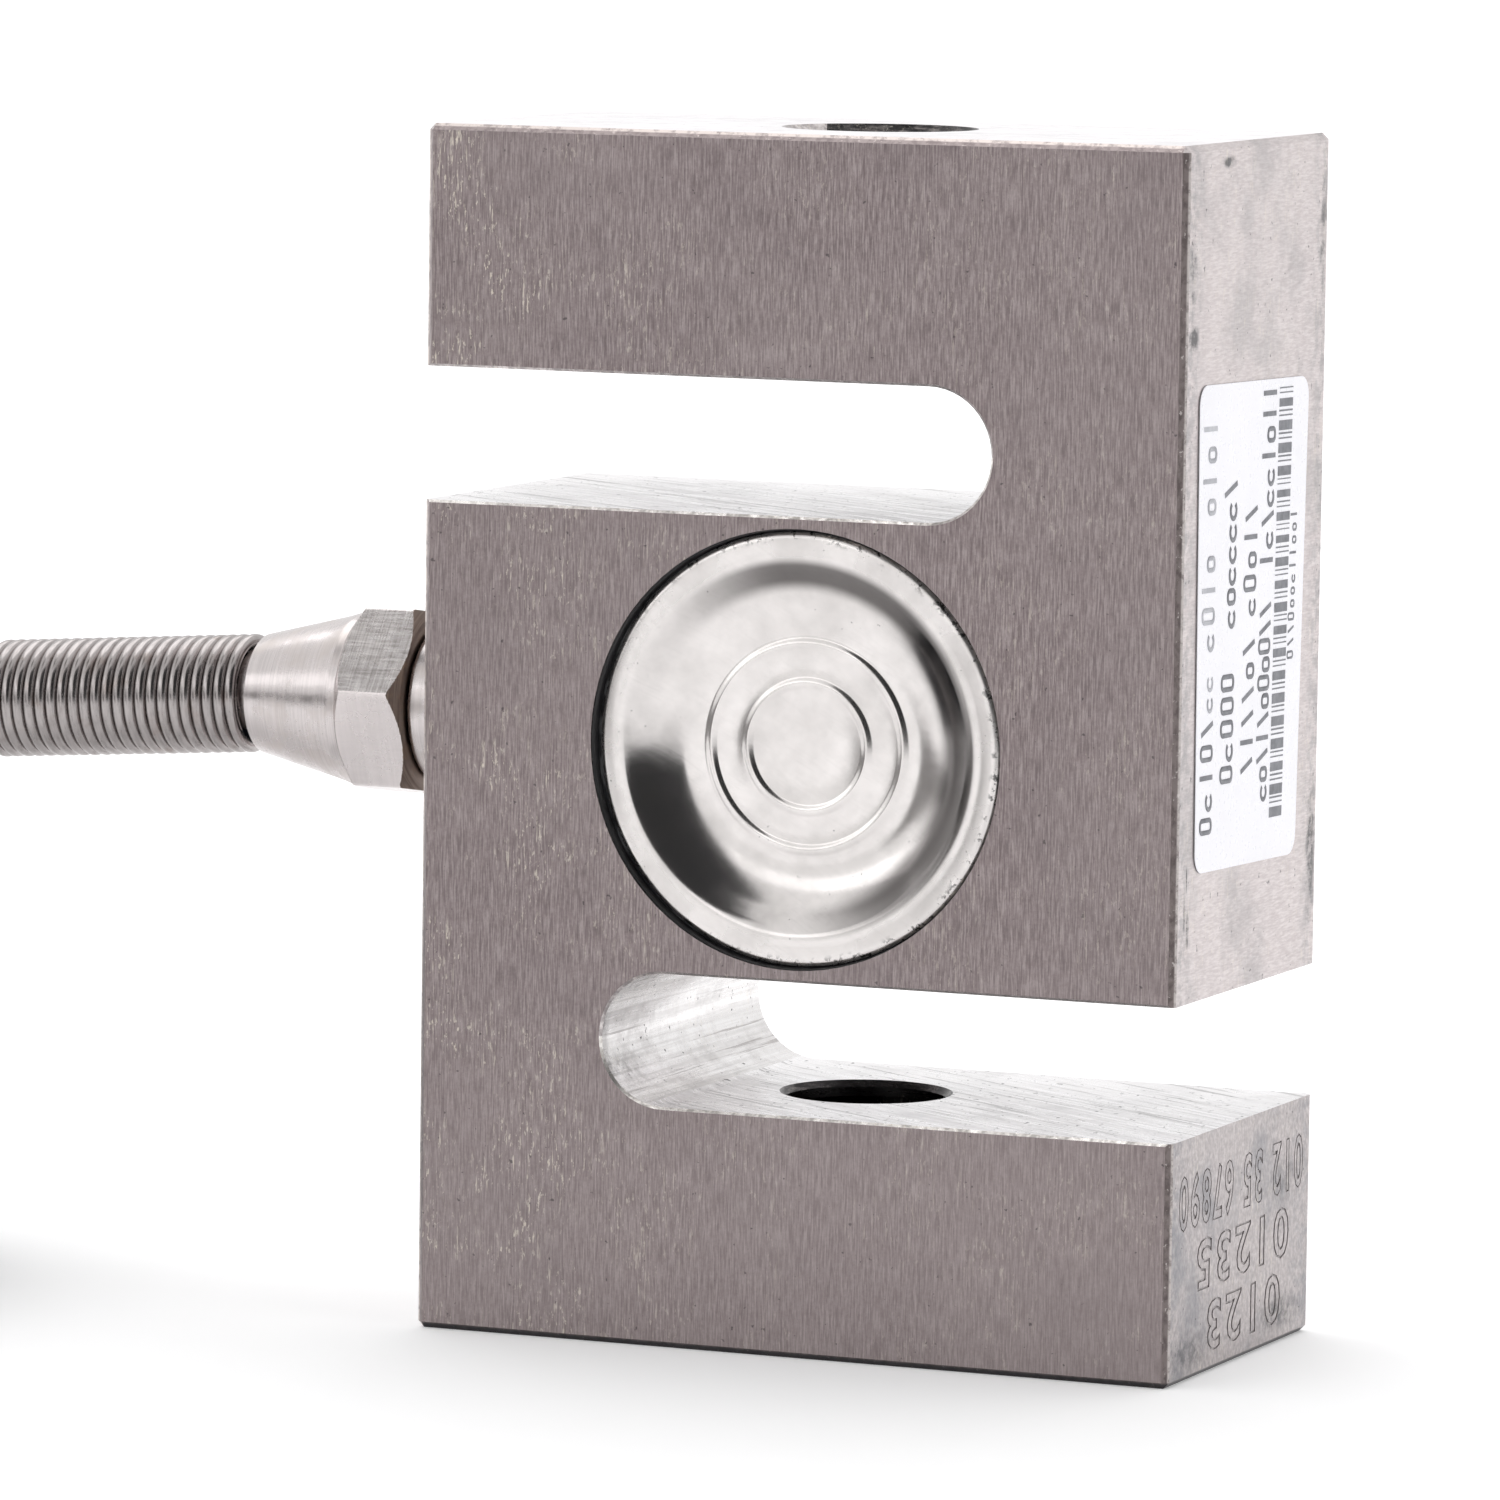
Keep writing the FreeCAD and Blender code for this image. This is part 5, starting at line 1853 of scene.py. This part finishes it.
@dataclass
class RatingLabel:
    """White film label, a little askew, with rows of plain grey marks and bars in place of words."""

    words: tuple[PrintedRow, ...] = (
        PrintedRow("heading_one", 1.85, 2.3, 2.1, 9.6, 1.5, 3),
        PrintedRow("heading_two", 1.9, 2.0, 9.7, 12.3, 1.3, 4, Finish.PALE_INK),
        PrintedRow("heading_three", 1.85, 2.3, 13.4, 19.8, 1.6, 9, Finish.PALE_INK),
        PrintedRow("heading_four", 1.85, 2.3, 21.7, 28.1, 1.6, 12, Finish.PALE_INK),
        PrintedRow("line_one_left", 5.5, 2.4, 5.1, 12.2, 1.42, 8),
        PrintedRow("line_one_right", 5.5, 2.4, 14.8, 24.1, 1.33, 21),
        PrintedRow("line_two_left", 9.2, 2.3, 5.4, 14.2, 1.47, 30),
        PrintedRow("line_two_right", 9.2, 2.3, 15.3, 22.5, 1.44, 5),
        PrintedRow("line_three_left", 12.1, 2.2, 3.7, 16.3, 1.14, 14),
        PrintedRow("line_three_right", 12.1, 2.3, 18.1, 29.4, 1.3, 17),
        PrintedRow("number", 16.9, 1.15, 12.2, 21.8, 0.8, 26),
        PrintedRow("bars_thick", 14.95, 2.35, 2.2, 29.0, 1.42, 7, bars=(0.46, 0.66)),
        PrintedRow("bars_thin_one", 14.95, 2.35, 2.82, 29.62, 1.42, 7, bars=(0.07, 0.1)),
        PrintedRow("bars_thin_two", 14.95, 2.35, 3.12, 29.92, 1.42, 7, bars=(0.07, 0.12)),
    )
    width: float = 19.0
    height: float = 30.0
    thickness: float = 0.1
    ink_gap: float = 0.006
    ink_thickness: float = 0.012
    corner: float = 1.3
    corner_steps: int = 8
    low_left: Point = (-9.75, 31.52)
    low_right: Point = (8.27, 31.04)
    high_right: Point = (9.33, 61.12)
    high_left: Point = (-10.27, 61.55)

    def place(self, across: float, up: float, lift: float = 0.0) -> Vector:
        """A place on the label.

        Args:
            across: Share of its width from the left.
            up: Share of its height from the bottom.
            lift: Height above the steel, in mm.

        Returns:
            The point, in metres.
        """
        low = Vector(self.low_left).lerp(Vector(self.low_right), across)
        high = Vector(self.high_left).lerp(Vector(self.high_right), across)
        spot = low.lerp(high, up)
        return Vector((LABEL_SIDE + lift, spot.x, spot.y)) * MM

    def film(self) -> Piece:
        """Build the white film with its rounded corners.

        Returns:
            The film.
        """
        outline = []
        for across, up, start in ((1, 0, 270), (1, 1, 0), (0, 1, 90), (0, 0, 180)):
            for step in range(self.corner_steps + 1):
                angle = math.radians(start + 90 * step / self.corner_steps)
                inward = self.corner * (1 - 2 * across), self.corner * (1 - 2 * up)
                x = across * self.width + inward[0] + self.corner * math.cos(angle)
                z = up * self.height + inward[1] + self.corner * math.sin(angle)
                outline.append(self.place(x / self.width, z / self.height))
        mesh = eased_plate("label_sheet", outline, self.thickness * MM, Vector((1, 0, 0)))
        for finish in (Finish.FILM, Finish.FILM_EDGE_SHADOW):
            mesh.materials.append(finish.material())
        # The film's edge faces take the dark painted-shadow grey.
        for face in mesh.polygons:
            face.material_index = int(abs(face.normal.x) < 0.2)
        return piece_from(mesh, "label_sheet", ["rating_label"])

    def row(self, rows: GrowthTree, line: PrintedRow) -> Piece:
        """Print one row up the label.

        Args:
            rows: The tree that lays the marks.
            line: The row.

        Returns:
            The row's piece.
        """
        name = "print_" + line.name
        plain = line.bars[1] > 0
        height = line.tall if plain else line.tall / 2
        widths = line.bars if plain else (height, height)
        count = round((line.end - line.start) / line.pitch)
        mesh = rows.grow(name, {
            "Count": count, "Pitch": line.pitch * MM, "Height": height * MM,
            "Least Width": widths[0] * MM, "Most Width": widths[1] * MM, "Seed": line.seed, "Bars": plain,
            "Material": line.ink.material()})
        for vertex in mesh.vertices:
            up = (line.start + line.pitch / 2 + vertex.co.x / MM) / self.height
            side = (line.across - vertex.co.y / MM) / self.width
            vertex.co = self.place(side, up, self.thickness + self.ink_gap)
        with reworked(mesh) as work:
            solid = bmesh.ops.extrude_face_region(work, geom=work.faces[:])
            raised = [item for item in solid["geom"] if isinstance(item, bmesh.types.BMVert)]
            bmesh.ops.translate(work, verts=raised, vec=Vector((self.ink_thickness * MM, 0, 0)))
            bmesh.ops.recalc_face_normals(work, faces=work.faces)
        return piece_from(mesh, name)

    def build(self, rows: GrowthTree) -> list[Piece]:
        """Build the film and its print.

        Args:
            rows: The tree that lays the printed rows.

        Returns:
            The label's pieces.
        """
        return [self.film()] + [self.row(rows, line) for line in self.words]


# ---------------- cable
@dataclass
class Cable:
    """Four-core cable: out through gland and spring, down onto its hank, round it, and out at its free end.

    The hank's ends are half circles about left and right, with the fold as the least radius, and its middle
    is shifted along Y.  Between a turn and the next, the cable crosses over at the crossing places along X,
    and it bulges inwards or outwards where it steps down a layer.
    """

    diameter: float = 5.2
    lead: tuple[Triple, ...] = ((-17.2, 0, 38.4), (-52.6, 0, 38.4), (-88.0, 0, 32.6), (-115.0, 0, 24.2))
    tail: tuple[Triple, ...] = ((-126.5, -30.3, 3.4), (-118.0, -26.4, 3.1), (-106.5, -22.6, 2.6))
    exit: Triple = (-44.0, 0.0, 38.3)
    fold: float = 15.6
    columns: int = 3
    layers: int = 4
    right: float = -88.1
    left: float = -133.1
    shift: float = -15.6
    low: float = 3.4
    crossing: tuple[float, float, float, float] = (-92.3, -98.0, -108.0, -119.1)
    crossing_end: float = -128.9
    bulge: Point = (-3.2, 2.0)
    bend: tuple[int, ...] = (75, 45, 15, -15, -45, -75)
    length: float = 3.0
    bevel_steps: int = 5
    curve_steps: int = 6

    def turns(self) -> list[Point]:
        """List the turns from the top one down.

        Returns:
            The fold radius and the height of each.
        """
        wide = [self.fold + column * self.diameter for column in range(self.columns)]
        places = [(self.fold, self.low + self.layers * self.diameter)]
        for layer in reversed(range(self.layers)):
            order = wide if layer % 2 else wide[::-1]
            places += [(radius, self.low + layer * self.diameter) for radius in order]
        return places

    def half_circle(self, centre: float, side: int, wide: float, height: float) -> list[Vector]:
        """Lay the control points round one end of the hank.

        Args:
            centre: The half circle's centre along X.
            side: -1 for the left end, gone round from the back, and 1 for the right end, from the front.
            wide: The control points' distance from the centre.
            height: Their height.

        Returns:
            The points, in mm.
        """
        points = []
        for angle in self.bend[::-side]:
            turn = math.radians(angle)
            across = centre + side * wide * math.cos(turn)
            points.append(Vector((across, self.shift + wide * math.sin(turn), height)))
        return points

    def route(self) -> list[Vector]:
        """Lay the cable's control points.

        Returns:
            The points, in mm.
        """
        points = [Vector(point) for point in self.lead]
        turns = self.turns()
        swell = 1 / (0.75 + 0.25 * math.cos(math.radians(30)))
        for (radius, height), following in zip(turns, turns[1:] + [None]):
            wide = radius * swell
            points += self.half_circle(self.left, -1, wide, height)
            if following is None:
                break
            run_in = wide * math.cos(math.radians(self.bend[0]))
            front = self.shift - radius
            points.append(Vector((self.left + run_in, front, height)))
            points.append(Vector((self.right - run_in, front, height)))
            points += self.half_circle(self.right, 1, wide, height)
            next_radius, next_height = following
            for share, place in zip((0.0, 0.33, 0.67, 1.0), self.crossing):
                out = radius + (next_radius - radius) * share
                down = height + (next_height - height) * share
                if next_height < height and 0.0 < share < 1.0:
                    out += self.bulge[0] if radius < self.fold + 1 else self.bulge[1]
                points.append(Vector((place, self.shift + out, down)))
            points.append(Vector((self.crossing_end, self.shift + next_radius, next_height)))
        return points + [Vector(point) for point in self.tail]

    def build(self) -> Piece:
        """Lay the cable as one smooth spline.

        Returns:
            The cable.
        """
        curve = bpy.data.curves.new("four_core_cable", "CURVE")
        curve.dimensions = "3D"
        curve.bevel_depth = self.diameter / 2 * MM
        curve.bevel_resolution = self.bevel_steps
        curve.resolution_u = self.curve_steps
        curve.use_fill_caps = True
        spline = curve.splines.new("NURBS")
        points = self.route()
        spline.points.add(len(points) - 1)
        for control, point in zip(spline.points, points):
            control.co = (*(point * MM), 1.0)
        spline.order_u = 3
        spline.use_endpoint_u = True
        curve.materials.append(Finish.JACKET.material())
        piece = hung("four_core_cable", curve)
        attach(piece, "root")
        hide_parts("cable", "cable_hank", "cable_tail")
        carried = ["back_hank_tie", "front_hank_tie", "end_drain_wire"]
        carried += ["end_core_" + colour for colour in ("red", "black", "green", "white")]
        return piece


# ---------------- inner pieces
@dataclass
class CarriedNodes:
    """CAD nodes whose shape stays, each with its finish."""

    finishes: dict[str, Finish] = field(default_factory=lambda: {
        "gland_gasket": Finish.GASKET, "gland_bush": Finish.BUSH, "gland_washer": Finish.NICKEL,
        "front_strain_gauge": Finish.GAUGE, "rear_strain_gauge": Finish.GAUGE,
        "front_terminal_board": Finish.BOARD, "rear_terminal_board": Finish.BOARD,
        "front_gauge_leads": Finish.TINNED, "rear_gauge_leads": Finish.TINNED,
        "upper_bridge_jumper": Finish.WHITE, "lower_bridge_jumper": Finish.WHITE,
        "inner_core_red": Finish.RED, "inner_core_black": Finish.BLACK,
        "inner_core_green": Finish.GREEN, "inner_core_white": Finish.WHITE,
        "end_core_red": Finish.RED, "end_core_black": Finish.BLACK,
        "end_core_green": Finish.GREEN, "end_core_white": Finish.WHITE,
        "end_drain_wire": Finish.TINNED, "back_hank_tie": Finish.TIE, "front_hank_tie": Finish.TIE})

    def dress(self) -> None:
        """Give each node its finish."""
        for name, finish in self.finishes.items():
            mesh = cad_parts[name].data
            mesh.materials.clear()
            mesh.materials.append(finish.material())


# ---------------- studio
@dataclass(frozen=True)
class Panel:
    """Flat card: its name, its middle, width and height in metres, its surface, and whether it lies level."""

    name: str
    centre: Triple
    width: float
    height: float
    finish: Finish
    level: bool = False


@dataclass
class Studio:
    """Pale floor, soft light, cards for the metal to reflect, and the camera.

    The camera's eye, lens and sensor are in mm and its angles in degrees.  Everything else is in metres.  The
    bounce card shows only in reflections.
    """

    eye: Triple = (231.366, -565.588, 101.369)
    azimuth: float = 22.966
    elevation: float = 6.027
    roll: float = 0.772
    lens: float = 233.61
    sensor: float = 36.0
    clip: Point = (0.01, 50.0)
    target: Triple = (0.0, 0.0, 0.04)
    floor_radius: float = 6.0
    floor_steps: int = 64
    cards: tuple[Panel, ...] = (
        Panel("right_card", (0.267, -0.462, 0.3), 0.74, 0.74, Finish.CARD),
        Panel("overhead_card", (-0.148, -0.088, 0.3), 0.1, 0.1, Finish.GREY_CARD),
        Panel("left_card", (-0.2, -0.15, 0.028), 0.2, 0.054, Finish.GREY_CARD),
        Panel("left_strip", (-0.302, -0.36, 0.209), 0.62, 0.12, Finish.STRIP))
    bounce: Panel = Panel("bounce_card", (-0.105, -0.018, 0.029), 0.13, 0.08, Finish.PAPER, level=True)
    softbox: Triple = (-0.25, 0.35, 0.9)
    softbox_power: float = 3.0
    softbox_size: float = 0.9
    sky_colour: Colour = (1.0, 1.0, 1.0)
    sky_strength: float = 1.0

    def camera(self) -> None:
        """Set up the camera."""
        angles = (self.azimuth, self.elevation, self.roll)
        azimuth, elevation, roll = (math.radians(value) for value in angles)
        back = Vector((math.sin(azimuth) * math.cos(elevation), -math.cos(azimuth) * math.cos(elevation),
                       math.sin(elevation)))
        right = Vector((0, 0, 1)).cross(back).normalized()
        up = back.cross(right)
        level, upright = right.copy(), up.copy()
        right = level * math.cos(roll) + upright * math.sin(roll)
        up = upright * math.cos(roll) - level * math.sin(roll)
        data = bpy.data.cameras.new("studio_camera")
        data.lens = self.lens
        data.sensor_width = self.sensor
        data.clip_start, data.clip_end = self.clip
        camera = hung("studio_camera", data)
        turn = Matrix((right, up, back)).transposed().to_4x4()
        camera.matrix_world = Matrix.Translation(Vector(self.eye) * MM) @ turn
        bpy.context.scene.camera = camera

    def hold(self, panel: Panel) -> Piece:
        """Hold up a flat card that faces the object, or lies level.

        Args:
            panel: The card's name, place, size and surface.

        Returns:
            The card.
        """
        mesh = bpy.data.meshes.new(panel.name)
        middle = Vector(panel.centre)
        ahead = Vector((0, 0, 1)) if panel.level else (Vector(self.target) - middle).normalized()
        aside = Vector((0, 0, 1)).cross(ahead).normalized() if abs(ahead.z) < 0.99 else Vector((1, 0, 0))
        up = ahead.cross(aside)
        corners = [middle + aside * across * panel.width / 2 + up * above * panel.height / 2
                   for across, above in ((-1, -1), (1, -1), (1, 1), (-1, 1))]
        mesh.from_pydata(corners, [], [(0, 1, 2, 3)])
        mesh.materials.append(panel.finish.material())
        card = hung(panel.name, mesh)
        card.visible_camera = False
        return card

    def light(self) -> None:
        """Hang the soft light, looking at the object."""
        data = bpy.data.lights.new("high_softbox", "AREA")
        data.energy = self.softbox_power
        data.size = self.softbox_size
        lamp = hung("high_softbox", data)
        look = Vector(self.target) - Vector(self.softbox)
        lamp.location = self.softbox
        lamp.rotation_euler = look.to_track_quat("-Z", "Y").to_euler()

    def build(self) -> None:
        """Lay the floor, hold up the cards, hang the light and set the sky."""
        mesh = bpy.data.meshes.new("studio_floor")
        angles = [math.tau * step / self.floor_steps for step in range(self.floor_steps)]
        reach = self.floor_radius
        ring = [(reach * math.cos(angle), reach * math.sin(angle), 0.0) for angle in angles]
        mesh.from_pydata(ring, [], [list(range(self.floor_steps))])
        mesh.materials.append(Finish.PAPER.material())
        hung("studio_floor", mesh)
        for panel in self.cards:
            self.hold(panel)
        bounce = self.hold(self.bounce)
        bounce.visible_diffuse = False
        bounce.visible_shadow = False
        self.light()
        world = bpy.data.worlds.new("studio_sky")
        world.use_nodes = True
        background = world.node_tree.nodes["Background"]
        background.inputs["Color"].default_value = (*self.sky_colour, 1.0)
        background.inputs["Strength"].default_value = self.sky_strength
        bpy.context.scene.world = world
        bpy.context.scene.view_settings.view_transform = "Standard"


def main() -> None:
    """Build every piece in order and report it."""
    logging.basicConfig(level=logging.INFO, format="%(name)s: %(message)s")
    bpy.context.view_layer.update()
    studio = Studio()
    studio.camera()
    made = [Cable().build()]
    coils, rows = coil_tree(), print_tree()
    block = SpringElement()
    made.append(block.build())
    made += block.threads(coils)
    for side, spindle in (("front", FRONT_POCKET), ("rear", REAR_POCKET)):
        made.append(SealCup(side, spindle).build())
        made.append(SealantRing(side, spindle).build())
    made += [GlandCollar().build(), CapNut().build(), StrainReliefSpring().build(coils)]
    made += RatingLabel().build(rows)
    CarriedNodes().dress()
    studio.build()
    for piece in made:
        faces = len(piece.data.polygons) if piece.type == "MESH" else 0
        LOG.info("%s: %s, %d faces", piece.name, piece.type.lower(), faces)


if __name__ == "__main__":
    main()
